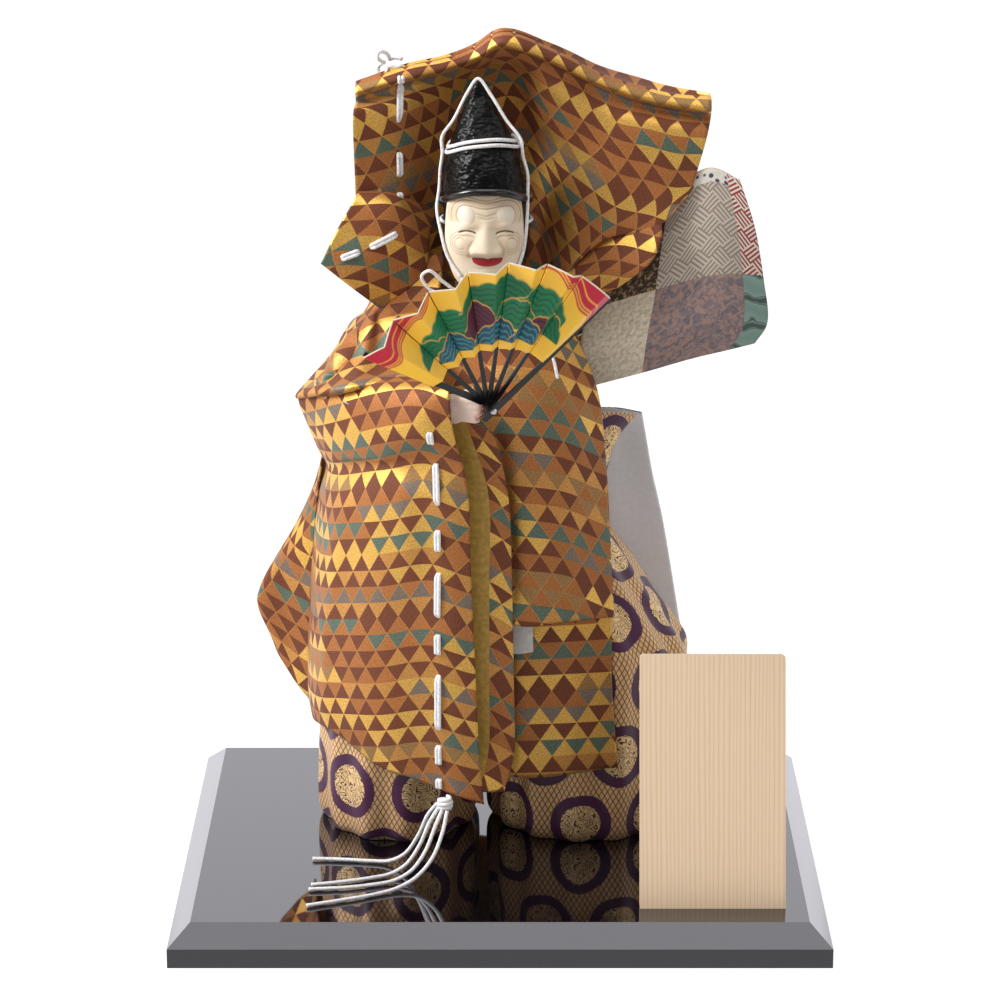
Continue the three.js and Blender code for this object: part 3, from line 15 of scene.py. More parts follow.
import bpy
import numpy as np
from bpy.types import Material, Mesh, Node, NodeSocket, NodeTree, Object
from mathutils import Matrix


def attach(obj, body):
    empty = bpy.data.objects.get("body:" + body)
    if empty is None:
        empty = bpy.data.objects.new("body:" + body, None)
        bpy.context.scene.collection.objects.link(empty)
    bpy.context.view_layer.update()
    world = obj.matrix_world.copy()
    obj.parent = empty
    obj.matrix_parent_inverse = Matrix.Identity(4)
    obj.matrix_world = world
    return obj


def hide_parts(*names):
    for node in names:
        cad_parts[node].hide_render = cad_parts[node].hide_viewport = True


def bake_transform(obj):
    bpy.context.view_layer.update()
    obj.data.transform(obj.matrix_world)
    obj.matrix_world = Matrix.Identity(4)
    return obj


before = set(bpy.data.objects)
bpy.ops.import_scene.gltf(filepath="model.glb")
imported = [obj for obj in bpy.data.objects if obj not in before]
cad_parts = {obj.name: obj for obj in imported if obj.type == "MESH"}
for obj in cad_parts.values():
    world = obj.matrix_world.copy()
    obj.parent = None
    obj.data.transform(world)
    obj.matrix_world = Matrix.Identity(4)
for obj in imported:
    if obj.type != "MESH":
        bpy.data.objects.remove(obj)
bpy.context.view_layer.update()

LOG = logging.getLogger("noh_doll")
MM = 0.001
TURN = 2 * math.pi
BODY = "doll"
HEAD = "head"

FIGURE_ORIGIN = np.array([0.0, 35.0, 20.0])
NECK = np.array([-7.0, -18.0, 286.0])
HEAD_ORIGIN = FIGURE_ORIGIN + NECK

Net = Sequence[Sequence[Sequence[float]]]
Route = Sequence[Sequence[float]]
Array = np.ndarray
Pair = tuple[float, float]
Place = tuple[float, float, float]
Stops = Sequence[tuple[float, str]]
Faces = list[tuple[int, ...]]
SlotAt = Callable[[float, float], int]

# Settings of a mixing node for colours, for a soft grain and for plain numbers
COLOURS = {"data_type": "RGBA"}
GRAIN = {"data_type": "RGBA", "blend_type": "SOFT_LIGHT"}
NUMBERS = {"data_type": "FLOAT"}


def linear(code: str) -> tuple[float, ...]:
    """Turns an sRGB hex colour into linear red, green and blue with an alpha of one."""
    parts = (int(code[at:at + 2], 16) / 255 for at in (0, 2, 4))
    return *(part / 12.92 if part <= 0.04045 else ((part + 0.055) / 1.055) ** 2.4 for part in parts), 1.0


def wire(node: Node, values: dict) -> None:
    """Sets or links inputs of a node.

    Args:
        node: the node.
        values: input name or number to a node, a socket or a plain value.
    """
    usable = [socket for socket in node.inputs if socket.enabled]
    for key, value in values.items():
        socket = usable[key] if isinstance(key, int) else next(one for one in usable if one.name == key)
        if isinstance(value, Node):
            value = next(output for output in value.outputs if output.enabled)
        if isinstance(value, NodeSocket):
            node.id_data.links.new(value, socket)
        else:
            socket.default_value = value


def add(
    tree: NodeTree, kind: str, *inputs: object, stops: Stops = (), **settings: object,
) -> Node:
    """Adds one shader node with its inputs and settings.

    Args:
        tree: node tree that takes the node.
        kind: node type without its ShaderNode prefix, and its operation after a dot if it has one.
        inputs: values of the inputs in order, or one dict of them by name.
        stops: places and sRGB colours of a colour ramp.
        settings: values of the node's own properties.

    Returns:
        The new node.
    """
    name, _, operation = kind.partition(".")
    node = tree.nodes.new(f"ShaderNode{name}")
    if operation:
        node.operation = operation
    for key, value in settings.items():
        setattr(node, key, value)
    named = bool(inputs) and isinstance(inputs[0], dict)
    wire(node, inputs[0] if named else dict(enumerate(inputs)))
    if stops:
        ramp = node.color_ramp
        while len(ramp.elements) < len(stops):
            ramp.elements.new(1.0)
        for element, (place, colour) in zip(ramp.elements, stops):
            element.position = place
            element.color = linear(colour)
    return node


def blank(name: str) -> tuple[Material, Callable[..., Node], Node]:
    """Makes a material with a bare surface shader.

    Args:
        name: common name of the real material.

    Returns:
        The material, the node-adding function of its tree and its surface shader.
    """
    material = bpy.data.materials.new(name)
    material.use_nodes = True
    tree = material.node_tree
    return material, partial(add, tree), tree.nodes["Principled BSDF"]


# Finishes


@dataclass(frozen=True)
class Lacquer:
    """Urushi lacquer polished on wood: a deep black with mirror-like reflections and faint unevenness."""

    name: str = "Polished urushi lacquer"
    colour: str = "070707"
    roughness: float = 0.035
    grain_mm: float = 60.0
    relief: float = 0.004
    coat: float = 1.0

    def build(self) -> Material:
        """Builds the material."""
        material, node, skin = blank(self.name)
        place = node("TexCoord").outputs["Object"]
        swell = node("TexNoise", place, 1 / (self.grain_mm * MM), 2.0)
        dust = node("TexNoise", place, 700.0, 4.0)
        wire(skin, {
            "Base Color": node("ValToRGB", swell, stops=((0.3, self.colour), (0.7, "0c0b0c"))),
            "Roughness": node("MapRange", dust, 0.0, 1.0, self.roughness, self.roughness * 1.6),
            "Normal": node("Bump", {"Height": swell, "Strength": self.relief, "Distance": 0.01}),
            "IOR": 1.54, "Coat Weight": self.coat, "Coat Roughness": self.roughness * 0.6,
            # The lavender coat tint stands in for a bluish room mirrored in the lacquer: a painted
            # reflection tint
            "Coat Tint": linear("f3f1ff"),
        })
        return material


@dataclass(frozen=True)
class CypressWood:
    """Planed cypress: pale, with fine straight upright growth lines and a silky low gloss."""

    name: str = "Planed cypress"
    ring_mm: float = 2.2
    early: str = "dcc3a5"
    late: str = "d2b18d"
    # Lean of the board and its grain, in degrees
    lean: float = 16.0

    def build(self) -> Material:
        """Builds the material."""
        material, node, skin = blank(self.name)
        place = node("TexCoord").outputs["Object"]
        stretch = node("Mapping", {
            "Vector": place, "Rotation": (-math.radians(self.lean), 0.0, 0.0), "Scale": (1.0, 1.0, 25.0),
        }, vector_type="TEXTURE")
        drift = node("TexNoise", stretch, 1 / (16 * MM), 2.0)
        rings = node("TexWave", {
            "Vector": stretch, "Scale": 0.314 / (self.ring_mm * MM), "Distortion": 8.0, "Detail": 2.0,
            "Detail Scale": 0.7, "Phase Offset": drift,
        }, wave_type="BANDS", bands_direction="X", wave_profile="SAW")
        fibre = node("TexNoise", stretch, 1 / (0.5 * MM), 3.0)
        tint = node("ValToRGB", rings.outputs["Fac"], stops=(
            (0.0, self.early), (0.5, self.early), (0.94, self.late), (1.0, self.early),
        ))
        wire(skin, {
            "Base Color": node("Mix", 0.2, tint, fibre.outputs["Color"], **GRAIN),
            "Normal": node("Bump", {"Height": fibre, "Strength": 0.08, "Distance": 0.0003}),
            "Roughness": 0.55, "IOR": 1.45,
        })
        return material


@dataclass(frozen=True)
class BareStuff:
    """Plain stuff of the doll's inside, such as carved wood, wire or hair, with a fine grain."""

    name: str
    dark: str
    light: str
    grain_mm: float
    roughness: float
    metallic: float = 0.0

    def build(self) -> Material:
        """Builds the material."""
        material, node, skin = blank(self.name)
        grain = node("TexNoise", node("TexCoord").outputs["Object"], 1 / (self.grain_mm * MM), 4.0)
        wire(skin, {
            "Base Color": node("ValToRGB", grain, stops=((0.35, self.dark), (0.65, self.light))),
            "Normal": node("Bump", {"Height": grain, "Strength": 0.15, "Distance": 0.0004}),
            "Roughness": self.roughness, "Metallic": self.metallic,
        })
        return material


@dataclass(frozen=True)
class TriangleBrocade:
    """Silk brocade in rows of triangles: gold thread that gleams beside matt brown, green and grey silk."""

    name: str = "Triangle silk brocade"
    base_mm: float = 12.6
    height_mm: float = 8.7
    # The slanted hatching is drawn about twice as coarse as the thread so that it shows
    hatch_mm: float = 0.95
    # Place in the palette and colour of the dark, copper, coloured, ochre and gold weave
    weaves: Stops = (
        (0.0, "6f3c26"), (0.2, "a86a39"), (0.4, "808080"), (0.6, "cb9250"), (0.8, "eab960"),
    )
    # Dark weave as red and bright weave as green of neighbouring triangles, over their share of the runs
    pairs: Stops = (
        (0.0, "599500"), (0.26, "59f300"), (0.46, "59da00"),
        (0.6, "bc9500"), (0.78, "bcf300"), (0.92, "bcda00"),
    )
    # Share of metal in the gold thread
    gleam: float = 0.9

    def build(self) -> Material:
        """Builds the material."""
        material, node, skin = blank(self.name)
        cloth = node("Attribute", attribute_name="cloth").outputs["Vector"]
        axis = node("SeparateXYZ", cloth)
        across, up = axis.outputs["X"], axis.outputs["Y"]

        # Row, place in the row and which of its triangles that is
        rise = node("Math.DIVIDE", up, self.height_mm)
        row = node("Math.FLOOR", rise)
        share = node("Math.FRACT", rise)
        place = node("Math.MULTIPLY_ADD", row, -0.5, node("Math.DIVIDE", across, self.base_mm))
        peak = node("Math.MULTIPLY", node("Math.PINGPONG", place, 0.5), 2.0)
        upright = node("Math.GREATER_THAN", peak, share)
        index = node("Math.ROUND", node("Math.MULTIPLY_ADD", upright, -0.5, place))

        # A dark and a bright weave over a run of three triangles, trading places every fourth row
        run = node("Math.FLOOR", node("Math.DIVIDE", node("Math.ADD", index, row), 3.0))
        shared = node("TexWhiteNoise", node("CombineXYZ", run, row), noise_dimensions="3D")
        pair = node("ValToRGB", shared, stops=self.pairs)
        pair.color_ramp.interpolation = "CONSTANT"
        roles = node("SeparateColor", pair)
        turned = node("Math.FLOORED_MODULO", node("Math.FLOOR", node("Math.DIVIDE", row, 4.0)), 2.0)
        bright = node("Math.COMPARE", upright, turned, 0.5)
        kind = node("Mix", bright, roles.outputs["Red"], roles.outputs["Green"], **NUMBERS)
        accent = node("Math.COMPARE", kind, 0.5, 0.1)
        band = node("Math.DIVIDE", node("Math.FLOORED_MODULO", row, 6.0), 6.0)
        colour = node("ValToRGB", band, stops=((0.0, "627062"), (0.3, "8a7b6e"), (0.63, "ad8453")))
        colour.color_ramp.interpolation = "CONSTANT"
        ground = node("ValToRGB", kind, stops=self.weaves)
        ground.color_ramp.interpolation = "CONSTANT"
        hue = node("Mix", accent, ground, colour, **COLOURS)

        # Slanted hatching, gold thread along the sides, painted glints that brighten and darken the thread
        # at random, and the weave
        slant = node("Math.MULTIPLY", node("Math.ADD", across, up), TURN / self.hatch_mm)
        wave = node("Math.SINE", slant)
        lines = node("MapRange", wave, -1.0, 1.0, 0.0, 0.45)
        hatched = node("Math.MULTIPLY", accent, node("Math.GREATER_THAN", band, 0.3))
        drawn = node("Mix", node("Math.MULTIPLY", lines, hatched), hue, linear("4c3527"), **COLOURS)
        side = node("Math.COMPARE", peak, share, 0.04)
        edged = node("Mix", node("Math.MULTIPLY", side, 0.3), drawn, linear("dba458"), **COLOURS)
        # Painted glints: fine noise that brightens and darkens the woven colour like glinting thread
        painted_glints = node("MapRange", node("TexNoise", cloth, 1.2, 1.5), 0.25, 0.75, 0.66, 1.3)
        weave = node("TexNoise", cloth, 2.4, 2.0)
        wire(skin, {
            "Base Color": node("Mix", 1.0, edged, painted_glints, **COLOURS, blend_type="MULTIPLY"),
            "Metallic": node("MapRange", kind, 0.1, 0.9, 0.1, self.gleam),
            "Roughness": node("MapRange", kind, 0.1, 0.9, 0.6, 0.48),
            "Normal": node("Bump", {
                "Height": node("Math.ADD", weave, wave), "Strength": 0.25, "Distance": 0.00012,
            }),
            "Specular IOR Level": 0.25, "Sheen Weight": 0.04, "Sheen Roughness": 0.4,
        })
        return material


@dataclass(frozen=True)
class LatticeBrocade:
    """Gold brocade for the trousers: a purple lozenge lattice with purple ring crests in staggered rows."""

    name: str = "Crested gold brocade"
    lozenge_mm: Pair = (3.0, 5.2)
    # Spacing of the crests across and of their rows, and the inner and outer radius of a crest's ring
    crest_mm: Pair = (43.0, 37.0)
    ring_mm: Pair = (11.3, 17.0)

    def build(self) -> Material:
        """Builds the material."""
        material, node, skin = blank(self.name)
        cloth = node("Attribute", attribute_name="cloth").outputs["Vector"]
        axis = node("SeparateXYZ", cloth)
        across, up = axis.outputs["X"], axis.outputs["Y"]

        # Lozenge lattice from two sets of slanted lines
        wide = node("Math.DIVIDE", across, self.lozenge_mm[0])
        high = node("Math.DIVIDE", up, self.lozenge_mm[1])
        edges = [
            node("Math.SUBTRACT", 0.5, node("Math.PINGPONG", node(f"Math.{turn}", wide, high), 0.5))
            for turn in ("ADD", "SUBTRACT")
        ]
        edge = node("Math.MAXIMUM", edges[0], edges[1])
        line = node("MapRange", edge, 0.39, 0.45)
        ground = node("ValToRGB", edge, stops=((0.0, "c99a62"), (0.16, "f0cc96"), (0.34, "dcae72")))
        lattice = node("Mix", line, ground, linear("5f3344"), **COLOURS)

        # Distance from the middle of the nearest crest
        rise = node("Math.DIVIDE", up, self.crest_mm[1])
        row = node("Math.FLOOR", rise)
        climb = node("Math.SUBTRACT", node("Math.FRACT", rise), 0.5)
        place = node("Math.MULTIPLY_ADD", row, -0.5, node("Math.DIVIDE", across, self.crest_mm[0]))
        aside = node("Math.SUBTRACT", node("Math.FRACT", place), 0.5)
        arm = node("VectorMath.MULTIPLY", node("CombineXYZ", aside, climb), (*self.crest_mm, 0.0))
        ragged = node("MapRange", node("TexNoise", cloth, 1.1, 1.0), 0.0, 1.0, -0.7, 0.7)
        far = node("Math.ADD", node("VectorMath.LENGTH", arm).outputs["Value"], ragged)
        within = node("Math.LESS_THAN", far, self.ring_mm[1])
        core = node("Math.LESS_THAN", far, self.ring_mm[0])

        # Scrolls in the crest as contour lines of a smooth field
        scroll = node("TexNoise", {"Vector": cloth, "Scale": 0.24, "Detail": 0.3, "Distortion": 0.7})
        curl = node("Math.SINE", node("Math.MULTIPLY", scroll, 44.0))
        stroke = node("MapRange", curl, 0.4, 0.7)
        heart = node("Mix", stroke, linear("efcb90"), linear("4e2136"), **COLOURS)
        ring = node("Mix", core, linear("47133d"), heart, **COLOURS)
        tint = node("Mix", within, lattice, ring, **COLOURS)
        weave = node("TexNoise", cloth, 2.6, 2.0)
        wire(skin, {
            "Base Color": tint,
            "Metallic": node("MapRange", node("RGBToBW", tint), 0.0, 0.6, 0.0, 0.45),
            "Normal": node("Bump", {
                "Height": node("Math.SUBTRACT", weave, edge), "Strength": 0.35, "Distance": 0.0002,
            }),
            "Roughness": 0.48, "Sheen Weight": 0.1,
        })
        return material


@dataclass(frozen=True)
class PlainSilk:
    """Plain woven silk in one dyed colour, with a fine crossing thread and a soft sheen."""

    name: str
    dark: str
    light: str
    # Thread spacing, drawn coarse enough to show
    thread_mm: float = 0.8

    def build(self) -> Material:
        """Builds the material."""
        material, node, skin = blank(self.name)
        cloth = node("Attribute", attribute_name="cloth").outputs["Vector"]
        axis = node("SeparateXYZ", cloth)
        beat = TURN / self.thread_mm
        waves = [node("Math.SINE", node("Math.MULTIPLY", axis.outputs[name], beat)) for name in ("X", "Y")]
        thread = node("Math.MULTIPLY", waves[0], waves[1])
        level = node("Math.MULTIPLY_ADD", thread, 0.08, node("TexNoise", cloth, 0.35, 5.0))
        wire(skin, {
            "Base Color": node("ValToRGB", level, stops=((0.3, self.dark), (0.7, self.light))),
            "Normal": node("Bump", {"Height": thread, "Strength": 0.12, "Distance": 0.0001}),
            "Roughness": 0.58, "Sheen Weight": 0.2, "Sheen Roughness": 0.35,
        })
        return material


class Patch(Enum):
    """Weaves of the patched inner robe."""

    KEY_FRET = "Key fret damask"
    PLUM = "Mottled plum crepe"
    SAND = "Mottled sand crepe"
    TORTOISE = "Red tortoise silk"
    WILLOW = "Willow green silk"
    DOTS = "Dotted white silk"
    DARK = "Dark mottled crepe"


@dataclass(frozen=True)
class PatchSilk:
    """One of the silks of the patched inner robe, with its own figure."""

    patch: Patch
    # Spacing of the fret's lines, and size of its block or of a chevron
    fret_mm: float = 2.0
    cell_mm: float = 8.0

    def figure(self, node: Callable[..., Node], cloth: NodeSocket) -> Node:
        """Adds the nodes of the silk's figure.

        Args:
            node: node-adding function of the material.
            cloth: place on the cloth.

        Returns:
            The node that gives the colour.
        """
        clouds = {
            Patch.PLUM: (0.34, ((0.36, "675c63"), (0.47, "7b6b6e"), (0.58, "9b7c6e"))),
            Patch.SAND: (0.5, ((0.36, "b0a38d"), (0.5, "cbbca5"), (0.62, "d9cbb5"))),
            Patch.DARK: (0.5, ((0.4, "2d1f1c"), (0.52, "3c2a22"), (0.62, "a08355"))),
        }
        if self.patch in clouds:
            scale, tones = clouds[self.patch]
            cloud = node("TexNoise", {"Vector": cloth, "Scale": scale, "Detail": 4.0, "Distortion": 0.8})
            return node("ValToRGB", cloud, stops=tones)
        if self.patch is Patch.DOTS:
            blots = node("TexVoronoi", {"Vector": cloth, "Scale": 0.28, "Randomness": 0.5})
            return node("ValToRGB", blots, stops=(
                (0.0, "3c3355"), (0.3, "443a5c"), (0.38, "c9c3b6"), (1.0, "d6d1c4"),
            ))
        if self.patch is Patch.WILLOW:
            bands = node("TexWave", {
                "Vector": cloth, "Scale": 0.022, "Distortion": 3.0, "Detail": 2.0, "Detail Scale": 3.0,
            }, wave_type="BANDS", bands_direction="Y")
            return node("ValToRGB", bands.outputs["Fac"], stops=(
                (0.0, "6f8a80"), (0.7, "7b958a"), (0.8, "33443f"), (0.86, "7b958a"), (0.93, "3c4d47"),
            ))
        axis = node("SeparateXYZ", cloth)
        leans = [node(f"Math.{turn}", axis.outputs["X"], axis.outputs["Y"]) for turn in ("ADD", "SUBTRACT")]
        side = self.cell_mm * math.sqrt(2)
        cells = [node("Math.FLOOR", node("Math.DIVIDE", lean, side)) for lean in leans]
        odd = node("Math.FLOORED_MODULO", node("Math.ADD", cells[0], cells[1]), 2.0)
        way = node("Mix", odd, leans[0], leans[1], **NUMBERS)
        wave = node("Math.SINE", node("Math.MULTIPLY", way, TURN / (self.fret_mm * math.sqrt(2))))
        tones = {
            Patch.KEY_FRET: ((0.3, "847868"), (0.55, "b0a295"), (1.0, "bbaea1")),
            Patch.TORTOISE: ((0.42, "932733"), (0.56, "cfc3b2"), (1.0, "d6ccbc")),
        }[self.patch]
        return node("ValToRGB", node("MapRange", wave, -1.0, 1.0), stops=tones)

    def build(self) -> Material:
        """Builds the material."""
        material, node, skin = blank(self.patch.value)
        cloth = node("Attribute", attribute_name="cloth").outputs["Vector"]
        figure = self.figure(node, cloth)
        thread = node("TexNoise", cloth, 1.8, 3.0)
        height = node("Math.ADD", thread, node("RGBToBW", figure))
        wire(skin, {
            "Base Color": node("Mix", 0.25, figure, thread.outputs["Color"], **GRAIN),
            "Normal": node("Bump", {"Height": height, "Strength": 0.3, "Distance": 0.0002}),
            "Roughness": 0.62, "Sheen Weight": 0.15,
        })
        return material


@dataclass(frozen=True)
class SilkCord:
    """Round braided white silk cord: soft, matt, with a fine braid."""

    name: str = "White braided silk"
    # Spacing of the braid, drawn coarse enough to show
    braid_mm: float = 1.4

    def build(self) -> Material:
        """Builds the material."""
        material, node, skin = blank(self.name)
        braid = node("TexVoronoi", {
            "Vector": node("TexCoord").outputs["Object"], "Scale": 1 / (self.braid_mm * MM),
        })
        # The braid's hollows are painted darker as painted shade
        wire(skin, {
            "Base Color": node("ValToRGB", braid, stops=((0.2, "eceaea"), (0.9, "d3d1d3"))),
            "Normal": node("Bump", {"Height": braid, "Strength": 0.2, "Distance": 0.0002}, invert=True),
            "Roughness": 0.7, "Sheen Weight": 0.2, "Subsurface Weight": 0.1, "Subsurface Scale": 0.001,
        })
        return material


@dataclass(frozen=True)
class Paint:
    """Brushed paint, such as ground shell over wood, coloured from the mesh's own paint layer."""

    name: str
    roughness: float
    # Weight of the light scattered below the surface
    depth: float = 0.08

    def build(self) -> Material:
        """Builds the material."""
        material, node, skin = blank(self.name)
        paint = node("Attribute", attribute_name="paint").outputs["Color"]
        age = node("TexNoise", node("TexCoord").outputs["Object"], 260.0, 5.0)
        wire(skin, {
            "Base Color": node("Mix", 0.12, paint, age.outputs["Color"], **GRAIN),
            "Normal": node("Bump", {"Height": age, "Strength": 0.06, "Distance": 0.0003}),
            "Roughness": self.roughness, "Subsurface Weight": self.depth, "Subsurface Scale": 0.002,
        })
        return material


@dataclass(frozen=True)
class CrinkledPaper:
    """Black lacquered paper of the cap: pressed into small crinkles that glint."""

    name: str = "Crinkled lacquered paper"
    crinkle_mm: float = 2.5

    def build(self) -> Material:
        """Builds the material."""
        material, node, skin = blank(self.name)
        place = node("TexCoord").outputs["Object"]
        stretch = node("Mapping", {"Vector": place, "Scale": (0.8, 0.8, 1.5)})
        warp = node("TexNoise", stretch, 1 / (2.4 * self.crinkle_mm * MM))
        moved = node("VectorMath.MULTIPLY_ADD", warp.outputs["Color"], (0.006, 0.006, 0.006), stretch)
        cells = node("TexVoronoi", {
            "Vector": moved, "Scale": 1 / (self.crinkle_mm * MM),
        }, feature="SMOOTH_F1")
        # The crinkles are painted darker in their hollows and lighter on their ridges: painted shade and
        # highlight
        wire(skin, {
            "Base Color": node("ValToRGB", cells, stops=((0.1, "050505"), (0.8, "0b0b0c"))),
            "Normal": node("Bump", {"Height": cells, "Strength": 0.8, "Distance": 0.001}),
            "Roughness": 0.3, "IOR": 1.25,
        })
        return material


class Look(Enum):
    """Finishes of the doll, each built once."""

    LACQUER = Lacquer()
    CYPRESS = CypressWood()
    CARVED_WOOD = BareStuff("Carved paulownia", "a37c4e", "bf9a68", 3.0, 0.8)
    STEEL_WIRE = BareStuff("Drawn steel wire", "7d7d7d", "9b9b9b", 0.8, 0.4, 1.0)
    HAIR = BareStuff("Black silk hair", "060606", "131213", 0.9, 0.42)
    ROBE = TriangleBrocade()
    TROUSERS = LatticeBrocade()
    ROBE_LINING = PlainSilk("Olive plain silk", "967229", "b9933b")
    TROUSER_LINING = PlainSilk("Lavender grey silk", "f3f2fa", "fdfdff")
    BELT = PlainSilk("White ribbed silk", "b9b3b0", "d2ccc9", 1.2)
    KEY_FRET = PatchSilk(Patch.KEY_FRET)
    PLUM = PatchSilk(Patch.PLUM)
    SAND = PatchSilk(Patch.SAND)
    TORTOISE = PatchSilk(Patch.TORTOISE)
    WILLOW = PatchSilk(Patch.WILLOW)
    DOTS = PatchSilk(Patch.DOTS)
    DARK_PATCH = PatchSilk(Patch.DARK)
    CORD = SilkCord()
    MASK = Paint("Painted mask wood", 0.42)
    SKIN = Paint("Painted skin plaster", 0.5)
    FAN_PAPER = Paint("Painted gilt paper", 0.45, 0.0)
    CAP = CrinkledPaper()
    CAP_RIM = Lacquer("Lacquered cap rim", "060606", 0.2, 20.0, 0.05, 0.2)
    FAN_RIB = Lacquer("Lacquered bamboo", "0b0908", 0.24, 12.0, 0.06, 0.2)
    SILVER = BareStuff("Polished silver", "c4c4c6", "d9d9da", 1.5, 0.18, 1.0)

    def material(self) -> Material:
        """Gives the built material of this finish."""
        if self not in BUILT:
            BUILT[self] = self.value.build()
        return BUILT[self]


BUILT: dict[Look, Material] = {}
ROBE_SIDES = (Look.ROBE, Look.ROBE_LINING)
BROCADE_MM = 1.3

# Directions, stretch and phases of the waves that make cloth, paper and padding uneven
SWELL_WAYS = np.array([
    [0.9, 0.3, 0.4], [-0.4, 0.8, 0.5], [0.3, -0.5, 0.9],
    [0.7, 0.6, -0.5], [-0.8, 0.2, 0.7], [0.1, 0.9, -0.8],
])
SWELL_STRETCH = np.array([1.0, 1.35, 0.8, 1.7, 0.6, 1.15])
SWELL_PHASES = np.array([0.3, 2.1, 4.0, 5.2, 1.4, 3.3])


# Shapes


def smooth_curve(points: Array, shares: Array) -> Array:
    """Runs a centripetal curve through points.

    Args:
        points: points along the first axis; other axes are separate curves.
        shares: places from 0 at the first point to 1 at the last, even in the points' count.

    Returns:
        Places on the curve, along the first axis.
    """
    run = np.concatenate([2 * points[:1] - points[1:2], points, 2 * points[-1:] - points[-2:-1]])
    gaps = np.maximum(np.sum(np.diff(run, axis=0) ** 2, axis=-1, keepdims=True), 1e-9) ** 0.25
    place = shares * (len(points) - 1)
    index = np.minimum(place.astype(int), len(points) - 2)
    share = (place - index).reshape((-1,) + (1,) * (points.ndim - 1))
    before, start, end, after = (run[index + step] for step in range(4))
    gap_before, gap, gap_after = (gaps[index + step] for step in range(3))
    leave = ((start - before) / gap_before - (end - before) / (gap_before + gap) + (end - start) / gap) * gap
    reach = ((end - start) / gap - (after - start) / (gap + gap_after) + (after - end) / gap_after) * gap
    square = 2 * start - 2 * end + leave + reach
    bend = 3 * end - 3 * start - 2 * leave - reach
    return start + share * (leave + share * (bend + share * square))


def line_through(route: Route, points: int, origin: Array) -> Array:
    """Gives a smooth line through a route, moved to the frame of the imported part."""
    return smooth_curve(np.array(route, float), np.linspace(0, 1, points)) + origin


def circle(count: int, start: float = 0.0) -> Array:
    """Gives even angles round a full turn."""
    return np.linspace(0, TURN, count, endpoint=False) + start


def unevenness(places: Array, size: float) -> Array:
    """Gives a smooth irregular height between -1 and 1, whose swellings are about as wide as the size."""
    waves = np.sin(places @ SWELL_WAYS.T * (math.pi / size) * SWELL_STRETCH + SWELL_PHASES)
    return waves.mean(axis=-1) * 1.6


@dataclass(frozen=True)
class Crease:
    """Ridge or valley along a line on a cloth."""

    # Shares across and along of its two ends
    start: Pair
    end: Pair
    # Half width, and height of the ridge or negative depth of the valley
    width: float
    height: float

    def heights(self, cloth: Array, shares: Array) -> Array:
        """Gives the height that the crease adds.

        Args:
            cloth: places on the flat cloth.
            shares: shares across and along of the same places.

        Returns:
            Height at each place.
        """
        flat = shares.reshape(-1, 2)
        ends = [
            cloth.reshape(-1, 2)[np.argmin(np.sum((flat - np.array(place)) ** 2, axis=1))]
            for place in (self.start, self.end)
        ]
        line = ends[1] - ends[0]
        along = clamp((cloth - ends[0]) @ line / max(line @ line, 1e-6))
        off = np.linalg.norm(cloth - ends[0] - along[..., None] * line, axis=-1)
        taper = np.sqrt(np.sin(math.pi * np.clip(along, 0.04, 0.96)))
        return self.height * taper * np.exp(-((off / self.width) ** 2))


def normals_of(grid: Array) -> Array:
    """Gives unit normals of a grid of points, towards the viewer where columns run to the right."""
    normal = np.cross(np.gradient(grid, axis=0), np.gradient(grid, axis=1))
    return normal / np.maximum(np.linalg.norm(normal, axis=-1, keepdims=True), 1e-9)


def lengths(points: Array, axis: int) -> Array:
    """Gives lengths from zero along lines of points that run along an axis."""
    steps = np.linalg.norm(np.diff(points, axis=axis), axis=-1)
    return np.insert(np.cumsum(steps, axis=axis), 0, 0.0, axis=axis)


def cloth_places(grid: Array) -> Array:
    """Gives places on the flat cloth for a grid of points.

    Args:
        grid: points in millimetres, rows from top to bottom.

    Returns:
        Length across from the middle column and length up from the top row.
    """
    across = lengths(grid, 1)
    across -= across[:, grid.shape[1] // 2][:, None]
    return np.stack([across, -lengths(grid, 0)], axis=-1)


@dataclass
class Drape:
    """Cloth surface through a net of points."""

    net: Net
    # Count of cells across and along
    across: int = 48
    along: int = 60
    creases: Sequence[Crease] = ()
    # Count, depth and phase of hanging folds that grow towards the hem
    folds: Place = (0.0, 0.0, 0.0)
    # Height of the small unevenness
    wobble: float = 0.5

    def grid(self) -> Array:
        """Gives the finished surface in millimetres in the figure's frame."""
        shares_u, shares_v = np.linspace(0, 1, self.across + 1), np.linspace(0, 1, self.along + 1)
        rows = [smooth_curve(np.array(row, float), shares_u) for row in self.net]
        bare = smooth_curve(np.array(rows), shares_v)
        shares = np.stack(np.meshgrid(shares_u, shares_v), axis=-1)
        cloth = cloth_places(bare)
        count, depth, phase = self.folds
        height = depth * shares[..., 1] * np.sin(TURN * count * shares[..., 0] + phase)
        height += self.wobble * unevenness(bare, 26.0)
        for crease in self.creases:
            height += crease.heights(cloth, shares)
        return bare + height[..., None] * normals_of(bare)

    def flat_size(self) -> Place:
        """Gives the width, length and area of the flat cut, in metres and square metres."""
        grid = self.grid() * MM
        width = np.linalg.norm(np.diff(grid, axis=1), axis=-1).sum(axis=1).max()
        length = np.linalg.norm(np.diff(grid, axis=0), axis=-1).sum(axis=0).max()
        cell = np.cross(np.diff(grid[:-1], axis=1), np.diff(grid[:, :-1], axis=0))
        return float(width), float(length), float(np.linalg.norm(cell, axis=-1).sum())


